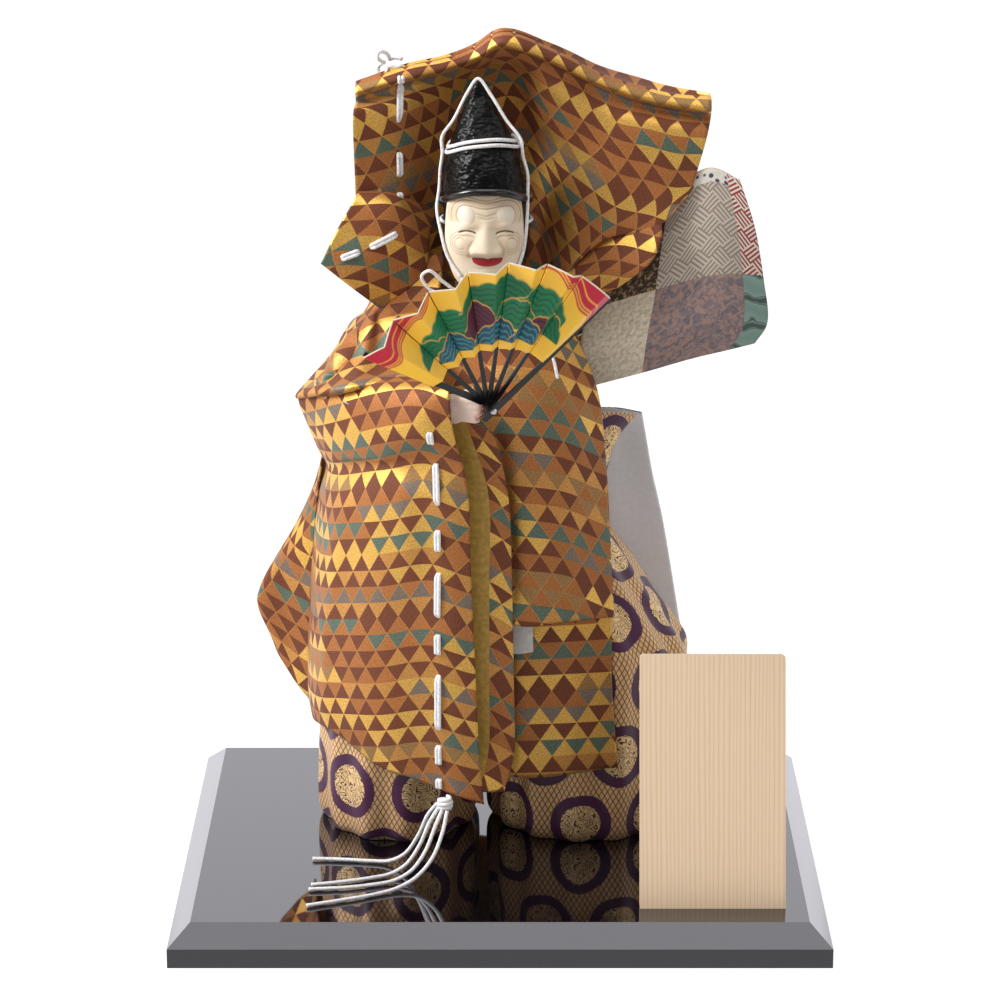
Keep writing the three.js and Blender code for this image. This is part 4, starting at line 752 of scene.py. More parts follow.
def new_object(
    name: str,
    vertices: Array,
    faces: Sequence[Sequence[int]],
    looks: Sequence[Look],
    cloth: Array | None = None,
    paint: Array | None = None,
    slots: Sequence[int] | None = None,
) -> Object:
    """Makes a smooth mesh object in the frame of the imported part.

    Args:
        name: name of the piece.
        vertices: points in metres.
        faces: vertex numbers of each face.
        looks: finishes of the piece.
        cloth: place of each vertex on the flat cloth.
        paint: linear colour of each vertex.
        slots: number of each face's finish.

    Returns:
        The new object.
    """
    mesh = bpy.data.meshes.new(name)
    mesh.from_pydata(vertices.tolist(), [], faces)
    mesh.polygons.foreach_set("use_smooth", [True] * len(mesh.polygons))
    for look in looks:
        mesh.materials.append(look.material())
    if slots is not None:
        mesh.polygons.foreach_set("material_index", slots)
    if cloth is not None:
        layer = mesh.attributes.new("cloth", "FLOAT_VECTOR", "POINT")
        flat = np.zeros((len(vertices), 3))
        flat[:, :2] = cloth
        layer.data.foreach_set("vector", flat.ravel())
    if paint is not None:
        layer = mesh.attributes.new("paint", "FLOAT_COLOR", "POINT")
        layer.data.foreach_set("color", paint.ravel())
    mesh.update()
    piece = bpy.data.objects.new(name, mesh)
    bpy.context.scene.collection.objects.link(piece)
    return piece


def settle(piece: Object, node: str = "", body: str = BODY) -> Object:
    """Lets a piece ride on its body, in the place of a solid if one is named.

    Args:
        piece: the piece.
        node: solid that it stands for.
        body: body that carries it.

    Returns:
        The same piece.
    """
    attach(piece, body)
    if node:
        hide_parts(node)
    LOG.info("%s rides on %s", piece.name, body)
    return piece


def parts_of(mesh: Mesh) -> tuple[Array, Faces]:
    """Gives the points of a mesh in metres, and the vertex numbers of each face."""
    places = np.array([vertex.co.to_tuple() for vertex in mesh.vertices])
    return places, [tuple(face.vertices) for face in mesh.polygons]


def joined(name: str, blocks: Sequence[Object], look: Look) -> Object:
    """Joins objects into one and removes them.

    Args:
        name: name of the new object.
        blocks: the objects.
        look: its finish.

    Returns:
        The new object.
    """
    vertices: list[Array] = []
    faces: Faces = []
    first = 0
    for block in blocks:
        places, own_faces = parts_of(block.data)
        vertices.append(places)
        faces += [tuple(index + first for index in face) for face in own_faces]
        first += len(places)
        bpy.data.objects.remove(block)
    return new_object(name, np.concatenate(vertices), faces, [look])


def grid_faces(rows: int, columns: int, flip: bool = False, ring: bool = False) -> Faces:
    """Gives the faces of a grid of vertices.

    Args:
        rows: count of vertex rows.
        columns: count of vertex columns.
        flip: turns the faces over.
        ring: joins the last column to the first.

    Returns:
        Vertex numbers of each face.
    """
    faces = []
    for row in range(rows - 1):
        for column in range(columns if ring else columns - 1):
            following = (column + 1) % columns
            a, b = row * columns + column, row * columns + following
            face = (a, a + columns, b + columns, b)
            faces.append(face[::-1] if flip else face)
    return faces


def cell_slots(rows: int, columns: int, slot_at: SlotAt) -> list[int]:
    """Gives the number of the finish of each cell of a grid, row by row."""
    cells = [(row, column) for row in range(rows - 1) for column in range(columns - 1)]
    return [slot_at((column + 0.5) / (columns - 1), (row + 0.5) / (rows - 1)) for row, column in cells]


def shell_faces(rows: int, columns: int) -> tuple[Faces, Faces]:
    """Gives the faces of a closed form of two grids, front and back.

    Args:
        rows: count of vertex rows of each grid.
        columns: count of vertex columns of each grid.

    Returns:
        Faces of the front, and faces of the back and of the rim between them.
    """
    count = rows * columns
    faces = grid_faces(rows, columns)
    border = list(range(columns))
    border += [row * columns + columns - 1 for row in range(1, rows)]
    border += [(rows - 1) * columns + column for column in range(columns - 2, -1, -1)]
    border += [row * columns for row in range(rows - 2, 0, -1)]
    ahead = border[1:] + border[:1]
    rim = [(here, there, there + count, here + count) for here, there in zip(border, ahead)]
    return faces, [tuple(index + count for index in face[::-1]) for face in faces] + rim


def hang(
    name: str, drape: Drape, node: str = "",
    looks: Sequence[Look] = ROBE_SIDES, thickness: float = BROCADE_MM,
    flip: bool = False, shift: Pair = (0.0, 0.0), turned: bool = False,
    slot_at: SlotAt | None = None,
) -> None:
    """Args:
        name: name of the piece.
        drape: its surface.
        node: solid that it stands for, if any.
        looks: finish of the face and, if given, of the back.
        thickness: thickness of the cloth.
        flip: the face is on the far side of the drape.
        shift: offset of the figure on the cloth.
        turned: the figure is upside down.
        slot_at: number of the finish at shares across and along, the same on both sides.
    """
    grid = drape.grid()
    rows, columns = grid.shape[:2]
    cloth = cloth_places(grid) * (-1 if turned else 1) + np.array(shift)
    piece = new_object(
        name, ((grid + FIGURE_ORIGIN) * MM).reshape(-1, 3), grid_faces(rows, columns, flip), looks,
        cloth.reshape(-1, 2), slots=cell_slots(rows, columns, slot_at) if slot_at else None,
    )
    skin = piece.modifiers.new("thickness", "SOLIDIFY")
    skin.thickness = thickness * MM
    skin.offset = 0.0
    if len(looks) > 1 and slot_at is None:
        skin.material_offset = 1
    settle(piece, node)
    width, length, area = drape.flat_size()


def bag_object(
    name: str,
    drape: Drape,
    depth: Callable[[Array, Array], Array],
    looks: Sequence[Look],
    slot_at: SlotAt | None = None,
) -> Object:
    """Makes a stuffed closed form behind a drape.

    Args:
        name: name of the piece.
        drape: its front surface.
        depth: depth towards the back, at shares across and along.
        looks: finishes of the piece; the last one is on the back.
        slot_at: number of the finish at shares across and along.

    Returns:
        The new object.
    """
    front = drape.grid()
    rows, columns = front.shape[:2]
    shares_u, shares_v = np.meshgrid(np.linspace(0, 1, columns), np.linspace(0, 1, rows))
    back = front.copy()
    back[..., 1] += depth(shares_u, shares_v)
    cloth = cloth_places(front)
    faces, behind = shell_faces(rows, columns)
    vertices = np.concatenate([front.reshape(-1, 3), back.reshape(-1, 3)])
    slots = cell_slots(rows, columns, slot_at) if slot_at else [0] * len(faces)
    return new_object(
        name, (vertices + FIGURE_ORIGIN) * MM, faces + behind, looks,
        np.concatenate([cloth.reshape(-1, 2)] * 2), slots=slots + [len(looks) - 1] * len(behind),
    )


def tube_mesh(
    name: str,
    route: Array,
    radii: Array,
    look: Look,
    sides: int = 10,
    heights: Callable[[Array], Array] | None = None,
) -> Object:
    """Makes a closed round bar along a route.

    Args:
        name: name of the piece.
        route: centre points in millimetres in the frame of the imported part.
        radii: radius at each point.
        look: finish of the bar.
        sides: count of sides.
        heights: extra height of the skin at points.

    Returns:
        The new object.
    """
    ahead = np.gradient(route, axis=0)
    ahead /= np.linalg.norm(ahead, axis=1, keepdims=True)
    side = np.cross(ahead[0], [0.3, 0.2, 1.0])
    rings = []
    angles = circle(sides)
    for centre, way, radius in zip(route, ahead, radii):
        side = side - way * (side @ way)
        side = side / np.linalg.norm(side)
        other = np.cross(way, side)
        spoke = np.cos(angles)[:, None] * side + np.sin(angles)[:, None] * other
        ring = centre + radius * spoke
        if heights is not None:
            ring = ring + heights(ring)[:, None] * spoke
        rings.append(ring)
    length = lengths(route, 0)
    cloth = np.stack(np.meshgrid(angles * radii.mean(), length), axis=-1)
    count = len(rings)
    vertices = np.concatenate([np.array(rings).reshape(-1, 3), route[:1], route[-1:]])
    faces = grid_faces(count, sides, flip=True, ring=True)
    first, last = count * sides, count * sides + 1
    for index in range(sides):
        following = (index + 1) % sides
        faces.append((first, following, index))
        faces.append((last, (count - 1) * sides + index, (count - 1) * sides + following))
    flat = np.concatenate([cloth.reshape(-1, 2), [[0, 0]], [[0, length[-1]]]])
    return new_object(name, vertices * MM, faces, [look], flat)


def white_cord(name: str, line: Array, radius: float, node: str, body: str = BODY) -> Object:
    """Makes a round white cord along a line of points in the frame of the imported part."""
    piece = tube_mesh(name, line, np.full(len(line), radius), Look.CORD)
    return settle(piece, node, body)


def loft_object(
    name: str,
    rings: Array,
    origin: Array,
    looks: Sequence[Look],
    shift: Pair = (0.0, 0.0),
    paint: str = "",
) -> Object:
    """Makes a closed loft through rings listed upwards.

    Args:
        name: name of the piece.
        rings: rings of points.
        origin: origin of the rings' frame.
        looks: finish of the piece.
        shift: offset of the figure on the cloth.
        paint: sRGB colour of its paint, if it has one.

    Returns:
        The new object.
    """
    count, sides = rings.shape[:2]
    closed = np.concatenate([rings, rings[:, :1]], axis=1)
    around = lengths(closed, 1)
    around -= around[:, sides // 2][:, None]
    cloth = np.stack([around, lengths(closed, 0)], axis=-1).reshape(-1, 2) + np.array(shift)
    middles = np.stack([rings[0].mean(axis=0), rings[-1].mean(axis=0)])
    vertices = np.concatenate([closed.reshape(-1, 3), middles])
    cloth = np.concatenate([cloth, [[0.0, -30.0], [0.0, 200.0]]])
    columns = sides + 1
    faces = grid_faces(count, columns, flip=True)
    low, high = count * columns, count * columns + 1
    for index in range(sides):
        faces.append((low, index + 1, index))
        faces.append((high, (count - 1) * columns + index, (count - 1) * columns + index + 1))
    colours = np.tile(np.array(linear(paint)), (len(vertices), 1)) if paint else None
    return new_object(name, (vertices + origin) * MM, faces, looks, cloth, colours)


def level_ring(x: float, y: float, z: float, half: Sequence, angles: Array) -> Array:
    """Gives points on a level ellipse round a centre, from its half width and half depth."""
    level = np.full(len(angles), z)
    return np.stack([x + half[0] * np.cos(angles), y + half[1] * np.sin(angles), level], axis=-1)


def clamp(value: Array) -> Array:
    """Limits values to 0 to 1."""
    return np.clip(value, 0.0, 1.0)


def bump(place: Array, middle: float, width: float) -> Array:
    """Gives a smooth swelling of height one round a middle."""
    return np.exp(-(((place - middle) / width) ** 2))


def pillow(border: float, middle: float) -> Callable[[Array, Array], Array]:
    """Gives the depth of a pillow that is shallow at its border and deepest in the middle."""
    return lambda u, v: border + (middle - border) * np.sqrt(
        clamp(np.sin(math.pi * u) * np.sin(math.pi * v))
    )


def dress(look: Look, *nodes: str) -> None:
    """Gives carried-over solids a finish.

    Args:
        look: the finish.
        nodes: names of the solids.
    """
    for name in nodes:
        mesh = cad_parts[name].data
        mesh.materials.clear()
        mesh.materials.append(look.material())
        LOG.info("%s dressed", name)


def soften(node: str, width_mm: float, segments: int = 3) -> None:
    """Rounds the edges of a carried-over solid.

    Args:
        node: name of the solid.
        width_mm: width of the rounding.
        segments: count of its steps.
    """
    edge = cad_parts[node].modifiers.new("edges", "BEVEL")
    edge.width = width_mm * MM
    edge.segments = segments
    edge.limit_method = "ANGLE"
    edge.angle_limit = math.radians(30)
    edge.harden_normals = False


# Stage


@dataclass
class Stage:
    """Camera, pale floor and soft studio light."""

    # Place and floor in metres, pitch as the angle from straight down in degrees
    camera_place: Place = (0.0, -1.7944, 0.7335)
    camera_pitch: float = 73.5
    lens: float = 130.75
    floor_size: float = 8.0
    # Strength of the room's light, and of its dim front and bright back as mirrored in the object
    room_light: float = 0.27
    room_mirror: Pair = (0.2, 1.15)
    # Strength of the lit floor as seen, and as mirrored before and behind the object
    floor_glow: float = 1.25
    floor_mirror: Pair = (0.38, 1.35)
    # Share of the floor that is lit evenly, while the rest keeps the shadow
    floor_share: float = 0.72

    def camera(self) -> None:
        """Makes the camera at the photograph's viewing angle."""
        data = bpy.data.cameras.new("camera")
        data.lens = self.lens
        data.sensor_width = 36.0
        camera = bpy.data.objects.new("camera", data)
        camera.location = self.camera_place
        camera.rotation_euler = (math.radians(self.camera_pitch), 0.0, 0.0)
        bpy.context.scene.collection.objects.link(camera)
        bpy.context.scene.camera = camera

    def room(self) -> None:
        """Makes the white room, which is dim on the viewer's side when mirrored."""
        scene = bpy.context.scene
        scene.view_settings.view_transform = "Standard"
        world = bpy.data.worlds.new("room")
        world.use_nodes = True
        scene.world = world
        node = partial(add, world.node_tree)
        path = node("LightPath")
        way = node("SeparateXYZ", node("TexCoord").outputs["Generated"])
        mirrored = node("MapRange", way.outputs["Y"], -0.3, 0.3, *self.room_mirror)
        seen = node("Math.MAXIMUM", path.outputs["Is Camera Ray"], path.outputs["Is Transmission Ray"])
        unseen = node("Mix", path.outputs["Is Glossy Ray"], self.room_light, mirrored, **NUMBERS)
        level = node("Mix", seen, unseen, 1.0, **NUMBERS)
        wire(world.node_tree.nodes["Background"], {"Color": (1.0, 1.0, 1.0, 1.0), "Strength": level})

    def floor(self) -> None:
        """Makes the floor, which looks white and keeps a soft shadow."""
        half = self.floor_size / 2
        mesh = bpy.data.meshes.new("floor")
        corners = [(-half, -half, 0), (half, -half, 0), (half, half, 0), (-half, half, 0)]
        mesh.from_pydata(corners, [], [(0, 1, 2, 3)])
        floor = bpy.data.objects.new("floor", mesh)
        bpy.context.scene.collection.objects.link(floor)
        material, node, skin = blank("White paper sweep")
        path = node("LightPath")
        glossy = path.outputs["Is Glossy Ray"]
        seen = node("Math.MAXIMUM", path.outputs["Is Camera Ray"], path.outputs["Is Transmission Ray"])
        amount = node("Math.MULTIPLY", node("Math.MAXIMUM", seen, glossy), self.floor_share)
        depth = node("SeparateXYZ", node("NewGeometry").outputs["Position"]).outputs["Y"]
        mirrored = node("MapRange", depth, -0.3, 0.15, *self.floor_mirror)
        level = node("Mix", glossy, self.floor_glow, mirrored, **NUMBERS)
        glow = node("Emission", {"Strength": level})
        grain = node("TexNoise", {"Scale": 900.0})
        tint = node("ValToRGB", grain, stops=((0.3, "f4f4f4"), (0.7, "f8f8f8")))
        wire(skin, {"Base Color": tint, "Roughness": 0.9})
        wire(material.node_tree.nodes["Material Output"], {"Surface": node("MixShader", amount, skin, glow)})
        mesh.materials.append(material)

    def lamp(self, name: str, place: Place, aim: Place, size: float, power: float) -> None:
        """Makes one soft square lamp.

        Args:
            name: name of the lamp.
            place: place in metres.
            aim: point that it faces.
            size: side in metres.
            power: power in watts.
        """
        data = bpy.data.lights.new(name, "AREA")
        data.shape = "SQUARE"
        data.size = size
        data.energy = power
        lamp = bpy.data.objects.new(name, data)
        lamp.location = place
        way = np.array(aim, float) - np.array(place, float)
        way /= np.linalg.norm(way)
        lamp.rotation_euler = (math.acos(-way[2]), 0.0, math.atan2(way[1], way[0]) - math.pi / 2)
        bpy.context.scene.collection.objects.link(lamp)

    def build(self) -> None:
        """Makes the whole stage."""
        self.camera()
        self.room()
        self.floor()
        middle = (0.0, 0.0, 0.22)
        self.lamp("key", (-1.75, -0.35, 1.55), middle, 0.9, 62.0)
        self.lamp("top", (0.0, -0.45, 1.75), middle, 1.2, 10.5)
        self.lamp("fill", (1.2, -1.3, 0.8), middle, 1.0, 2.8)


# Tassel


@dataclass
class Tassel:
    """Knot and four cord ends at the lower corner of the right sleeve."""

    radius: float = 1.0
    # Height of a lying cord's middle above the base board
    lie: float = 1.3
    knot: Place = (-27.0, -92.5, 40.0)
    knot_radius: float = 4.4

    def routes(self) -> list[Route]:
        """Gives the routes of the strands in the figure's frame."""
        lie = self.lie
        return [
            [[-32.2, -92, 37], [-37, -90, 30], [-42, -88, 18], [-49, -86, 7], [-57, -84, 2.2],
             [-67, -82, lie], [-78, -80.5, lie], [-88, -79.5, lie], [-97, -79, lie]],
            [[-31.4, -94.4, 35.6], [-36, -95, 28], [-41, -96, 16], [-48, -98, 6], [-56, -101, 2],
             [-66, -105, lie], [-77, -109, lie], [-87, -112, lie], [-96, -114, lie]],
            [[-29.6, -95.8, 34.8], [-33, -98, 27], [-38, -102, 15], [-45, -106, 6], [-54, -110, 2],
             [-65, -114, lie], [-77, -117.5, lie], [-88, -119, lie], [-97, -120, lie]],
            [[-27, -96.4, 34.6], [-29, -101, 26], [-34, -107, 14], [-42, -113, 5.6], [-52, -120, 2],
             [-64, -127, lie], [-77, -133, lie], [-88, -137.5, lie], [-97, -141, lie]],
        ]

    def tied_knot(self) -> Object:
        """Makes the knot as a short wound cord."""
        turns = 3.2
        shares = np.linspace(0, 1, 120)
        angle = TURN * turns * shares
        reach = self.knot_radius - self.radius - 0.9 * np.abs(2 * shares - 1)
        line = np.stack([
            reach * np.cos(angle), 0.8 * reach * np.sin(angle), (shares - 0.5) * 1.4 * self.knot_radius,
        ], axis=-1) + np.array(self.knot) + np.array([-1.2, -1.0, -2.4]) + FIGURE_ORIGIN
        return white_cord("knot", line, self.radius * 1.15, "sleeve_knot")

    def build(self) -> None:
        knot = self.tied_knot()
        for index, route in enumerate(self.routes(), 1):
            line = line_through(route, 60, FIGURE_ORIGIN)
            strand = white_cord(f"strand_{index}", line, self.radius, f"tassel_strand_{index}")


# Base


@dataclass
class Plinth:
    """Lacquered base board, bare name board and the hidden body inside the robes."""

    # Rounding of the edges
    base_edge: float = 1.4
    board_edge: float = 0.7

    def build(self) -> None:
        """Dresses the solids of the base and the body."""
        soften("base_board", self.base_edge, 4)
        dress(Look.LACQUER, "base_board")
        soften("name_board", self.board_edge)
        dress(Look.CYPRESS, "name_board")
        dress(Look.CARVED_WOOD, "leg_post_left", "leg_post_right", "body_core")
        dress(Look.STEEL_WIRE, "arm_wire_right", "arm_wire_left")


# Trousers


@dataclass
class Hakama:
    """Puffed trouser legs, the open side panel with its lining, and the belt."""

    # Height, place and half sizes of the legs' sections
    left_sections: Route = (
        (0, -54, -4, 40, 49), (5, -54, -4, 42, 52), (24, -54, -4, 42.5, 52.5), (58, -53, -4, 41, 51),
        (90, -48, -4, 36, 49), (122, -40, -4, 29, 46), (158.7, -29, -4, 24, 41),
    )
    right_sections: Route = (
        (0, 45, -4, 48, 49), (5, 45, -4, 50.5, 52), (24, 45.5, -4, 51.5, 52.5), (58, 46, -4, 51, 51),
        (86, 47, -4, 51.5, 50), (97, 48, -4, 49.5, 49.5), (110, 45, -4, 44.6, 48), (126, 40, -4, 39, 46),
        (143.7, 34, -4, 34, 44), (158.7, 30, -4, 27, 42),
    )
    # Count of soft pleats of the left and right leg, and their depth as a share of the radius
    pleats: tuple[int, int] = (12, 14)
    pleat_depth: float = 0.03
    leg_sides: int = 150
    leg_steps: int = 60
    hip_net: Net = (
        ((50.2, 4, 217.8), (60.9, 12, 216.2), (71.8, 22, 212.4)),
        ((50.7, -2, 196.7), (56.6, 4, 199.4), (62.1, 13, 202.9)),
        ((50.1, -10, 180), (52.9, -4, 181.5), (55.7, 4, 188.5)),
        ((46.9, -20, 161.2), (50.6, -14, 164.8), (53.9, -6, 173.4)),
    )
    flare_net: Net = (
        ((48, 30, 214), (62, 29, 214), (75, 27, 212)),
        ((52, 35, 180), (68, 34, 180), (81, 30, 179)),
        ((56, 38, 150), (73, 36, 150), (87, 32, 151)),
        ((62, 40, 122), (79, 36, 122), (92, 32, 123)),
        ((67, 40, 94), (84, 34, 94), (97, 29, 94)),
        ((74, 38, 74), (88, 31, 76), (100, 24, 80)),
    )
    tail_net: Net = (
        ((4, -60, 142), (11, -60.5, 142), (18, -60.5, 142)),
        ((3, -63.5, 126), (10, -64.5, 126), (17, -64, 126)),
        ((3, -65.5, 109), (10, -66.5, 109), (17, -66, 110)),
    )

    def leg(self, name: str, sections: Route, pleats: int, node: str, shift: Pair) -> None:
        """Makes one stuffed leg.

        Args:
            name: name of the piece.
            sections: its sections, upwards.
            pleats: count of pleats.
            node: solid that it stands for.
            shift: offset of the crests on the cloth.
        """
        angles = circle(self.leg_sides, math.pi / 2)
        ripple = 1 + self.pleat_depth * np.sin(pleats * angles)
        values = smooth_curve(np.array(sections, float), np.linspace(0, 1, self.leg_steps))
        grid = np.array([
            level_ring(x, y, max(z, 0.3), (wide * ripple, deep * ripple), angles)
            for z, x, y, wide, deep in values
        ])
        out = grid - grid.mean(axis=1, keepdims=True)
        out[..., 2] = 0
        out /= np.maximum(np.linalg.norm(out, axis=-1, keepdims=True), 1e-6)
        grid += out * (0.7 * unevenness(grid, 30.0) - 0.5)[..., None]
        leg = loft_object(name, grid, FIGURE_ORIGIN, [Look.TROUSERS], shift)
        settle(leg, node)

    def panels(self) -> None:
        """Makes the side panels and their lining."""
        back = Drape(self.flare_net, 30, 60, wobble=0.4)
        hang("trouser_back_panel", back, "hakama_back_panel",
             (Look.TROUSERS, Look.TROUSERS), 1.2, True, (10.0, 6.0))
        inside = Drape([[[x, y - 1.9, z] for x, y, z in row] for row in self.flare_net], 30, 60, wobble=0.4)
        hang("trouser_lining", inside, "hakama_lining",
             (Look.TROUSER_LINING,), 0.8)
        hip = Drape(self.hip_net, 24, 40, wobble=0.4)
        hang("trouser_hip_panel", hip, "hakama_hip_panel",
             (Look.TROUSERS, Look.TROUSER_LINING), 1.2)

    def belt(self) -> None:
        """Makes the belt and its hanging end."""
        outline = level_ring(0, -4, 0, (57, 46), np.linspace(0, TURN, 97))
        net = [(outline + np.array([0, 0, z])).tolist() for z in (158, 152.5, 147)]
        hang("belt_band", Drape(net, 96, 8, wobble=0.1),
             "belt", (Look.BELT,), 1.4, True)
        hang("belt_end", Drape(self.tail_net, 12, 24, wobble=0.2), "belt_tail",
             (Look.BELT,), 0.9)

    def build(self) -> None:
        """Makes all of the trousers."""
        self.leg("trouser_leg_left", self.left_sections, self.pleats[0], "hakama_left_leg", (7.4, -10.5))
        self.leg("trouser_leg_right", self.right_sections, self.pleats[1], "hakama_right_leg", (25.0, 7.0))
        self.panels()
        self.belt()


# Inner robe


@dataclass
class InnerRobe:
    """Fitted inner robe, its collar and its padded patched left sleeve."""

    # Shares across of the sleeve's upright seams, and along of its level seam and of its dotted cuff
    seam_across: Pair = (0.33, 0.84)
    seam_along: float = 0.47
    cuff: float = 0.06
    sleeve_net: Net = (
        ((68, 4, 314), (88, 4, 336), (108, 2, 348), (123, 0, 342)),
        ((54, 0, 296), (84, -3, 312), (110, -5, 322), (131, -2, 318)),
        ((44, -6, 272), (80, -10, 284), (112, -12, 292), (136, -4, 290)),
        ((42, -10, 250), (76, -14, 262), (110, -14, 268), (138, -4, 268)),
        ((48, -6, 235), (74, -8, 243), (104, -6, 251), (132, -2, 257)),
    )
    # Height, place and half sizes of the body's sections
    sections: Route = (
        (156.7, 0, -4, 46, 32), (175, -2, -4, 40, 30), (216, -7, -5, 42, 29), (255.5, -10, -6, 48, 27),
        (273.3, -9, -9, 42, 22), (288, -7, -14, 17, 16),
    )

    def patch_at(self, across: float, along: float) -> int:
        """Gives the patch at a place on the sleeve.

        Args:
            across: share across.
            along: share along, from the top.

        Returns:
            Number of the patch's finish.
        """
        low = along > self.seam_along
        if across > self.seam_across[1]:
            return 4 if low else 3
        if across < self.seam_across[0]:
            return 2 if low else 6
        if along < self.cuff:
            return 5
        return 1 if low else 0

    def build(self) -> None:
        """Makes the inner robe."""
        looks = [
            Look.KEY_FRET, Look.PLUM, Look.SAND, Look.TORTOISE, Look.WILLOW, Look.DOTS, Look.DARK_PATCH,
            Look.SAND,
        ]
        drape = Drape(self.sleeve_net, 64, 64, wobble=0.6)
        sleeve = bag_object("inner_sleeve", drape, pillow(3.0, 34.0), looks, self.patch_at)
        settle(sleeve, "inner_sleeve_left")
        angles = circle(72, math.pi / 2)
        values = smooth_curve(np.array(self.sections, float), np.linspace(0, 1, 40))
        rings = np.array([level_ring(x, y, z, (w - 0.4, d - 0.4), angles) for z, x, y, w, d in values])
        robe = loft_object("inner_robe_body", rings, FIGURE_ORIGIN, [Look.ROBE])
        settle(robe, "inner_robe")
        for name, reach, low, height, node, look in (
            ("inner_collar", 12.0, 281.0, 11.0, "", Look.SAND),
            ("outer_collar", 15.3, 287.0, 6.0, "robe_collar", Look.ROBE),
        ):
            outline = level_ring(NECK[0], NECK[1] + 3, 0, (reach, reach + 1), np.linspace(0, TURN, 73))
            net = [(outline + np.array([0, 0, low + height * part])).tolist() for part in (1, 0.5, 0)]
            hang(name, Drape(net, 72, 8, wobble=0.1), node, [look], 1.6,
                 flip=True)


# Outer robe


@dataclass
class OuterRobe:
    """Front, skirt and back of the brocade robe."""

    front_net: Net = (
        ((-34, -28, 282), (-14, -34, 288), (4, -36, 288), (22, -33, 284), (38, -22, 270)),
        ((-32, -46, 250), (-11, -52, 250), (6, -56, 251), (28, -50, 247), (50, -30, 237)),
        ((-30, -60, 207), (-3, -66, 207), (10, -68, 208), (32, -60, 205), (54, -40, 199)),
        ((-26, -64, 160), (0, -72, 161), (14, -74, 162), (34, -66, 159), (57, -48, 153)),
        ((-24, -68, 129), (2, -76, 129), (15, -78, 128), (36, -71, 129), (58, -53, 125)),
        ((-24, -64, 132), (2, -71, 132), (15, -73, 132), (36, -66, 132), (57, -49, 129)),
        ((-22, -60, 146), (2, -63, 147), (15, -63, 147), (36, -59, 146), (54, -44, 142)),
    )
    skirt_net: Net = (
        ((3, -54.6, 156), (16, -54.4, 156), (36, -51, 156), (54, -41, 154)),
        ((3, -59, 137), (15, -60, 137), (37, -58, 137), (57, -50, 133)),
        ((4, -62, 89), (16, -63.5, 89), (38, -62, 89), (58, -56, 86)),
        ((4, -64, 42), (16, -66, 41), (39, -64, 43), (61, -58, 44)),
    )
    back_net: Net = (
        ((-48, 10, 280), (-26, 11, 287), (-6, 10, 289), (16, 11, 287), (36, 10, 280)),
        ((-60, 26, 240), (-32, 35, 240), (-6, 37, 240), (20, 35, 240), (48, 25, 238)),
        ((-66, 46, 160), (-35, 54, 160), (-5, 55, 160), (26, 54, 160), (55, 46, 160)),
        ((-70, 55, 100), (-36, 60, 100), (-5, 61, 100), (28, 60, 100), (60, 55, 100)),
        ((-72, 59, 46), (-37, 64, 44), (-5, 65, 44), (29, 64, 44), (63, 59, 46)),
    )

    def build(self) -> None:
        """Makes the three main panels."""
        front = Drape(self.front_net, 56, 90, creases=(
            Crease((0.34, 0.25), (0.36, 0.62), 4.0, -2.2),
            Crease((0.7, 0.3), (0.78, 0.6), 7.0, 0.8),
        ))
        hang("robe_front_panel", front, "robe_front", turned=True)
        skirt = Drape(self.skirt_net, 48, 60, folds=(2.0, 0.8, 0.0))
        hang("robe_skirt_panel", skirt, "robe_skirt")
        back = Drape(self.back_net, 70, 80, folds=(4.0, 2.4, 0.0))
        hang("robe_back_panel", back, "robe_back", flip=True)


def sampled(field: Array, across: Array, along: Array) -> Array:
    """Gives values of a grid between its points.

    Args:
        field: rows and columns of vectors.
        across: shares across.
        along: shares along.

    Returns:
        One vector for each place.
    """
    rows, columns = field.shape[:2]
    row, column = along * (rows - 1), across * (columns - 1)
    near_row = np.minimum(row.astype(int), rows - 2)
    near_column = np.minimum(column.astype(int), columns - 2)
    part_row, part_column = (row - near_row)[:, None], (column - near_column)[:, None]
    upper, lower = (
        field[at, near_column] * (1 - part_column) + field[at, near_column + 1] * part_column
        for at in (near_row, near_row + 1)
    )
    return upper * (1 - part_row) + lower * part_row


@dataclass
class Stitches:
    """Doubled cord stitched in and out of a cloth, shown as separate raised stitches."""

    drape: Drape
    # Shares across at the first and the last stitch, and along where each one comes up and goes down
    start: float
    end: float
    spans: Sequence[Pair]
    # Radius of one strand, and height of its middle above the cloth
    radius: float = 0.95
    lift: float = 1.7

    def build(self, name: str, node: str) -> Object:
        """Makes all the stitches as one piece.

        Args:
            name: name of the piece.
            node: solid that it stands for.

        Returns:
            The piece.
        """
        grid = self.drape.grid()
        normal = normals_of(grid)
        low, high = self.spans[0][0], self.spans[-1][1]
        count = 26
        arch = clamp(np.sin(np.linspace(0, math.pi, count)) * 2.6) ** 0.6
        bars = []
        for begin, finish in self.spans:
            along = np.linspace(begin, finish, count)
            across = self.start + (self.end - self.start) * (along - low) / (high - low)
            centre, up = sampled(grid, across, along), sampled(normal, across, along)
            way = np.gradient(centre, axis=0)
            way /= np.linalg.norm(way, axis=1, keepdims=True)
            side = np.cross(way, up)
            path = centre + up * (self.lift * (2 * arch - 1))[:, None] + FIGURE_ORIGIN
            for offset in (-self.radius, self.radius):
                strand = path + side * (offset * (0.15 + 0.75 * arch))[:, None]
                bars.append(tube_mesh("strand", strand, self.radius * (0.6 + 0.45 * arch), Look.CORD, 8))
        return settle(joined(name, bars, Look.CORD), node)


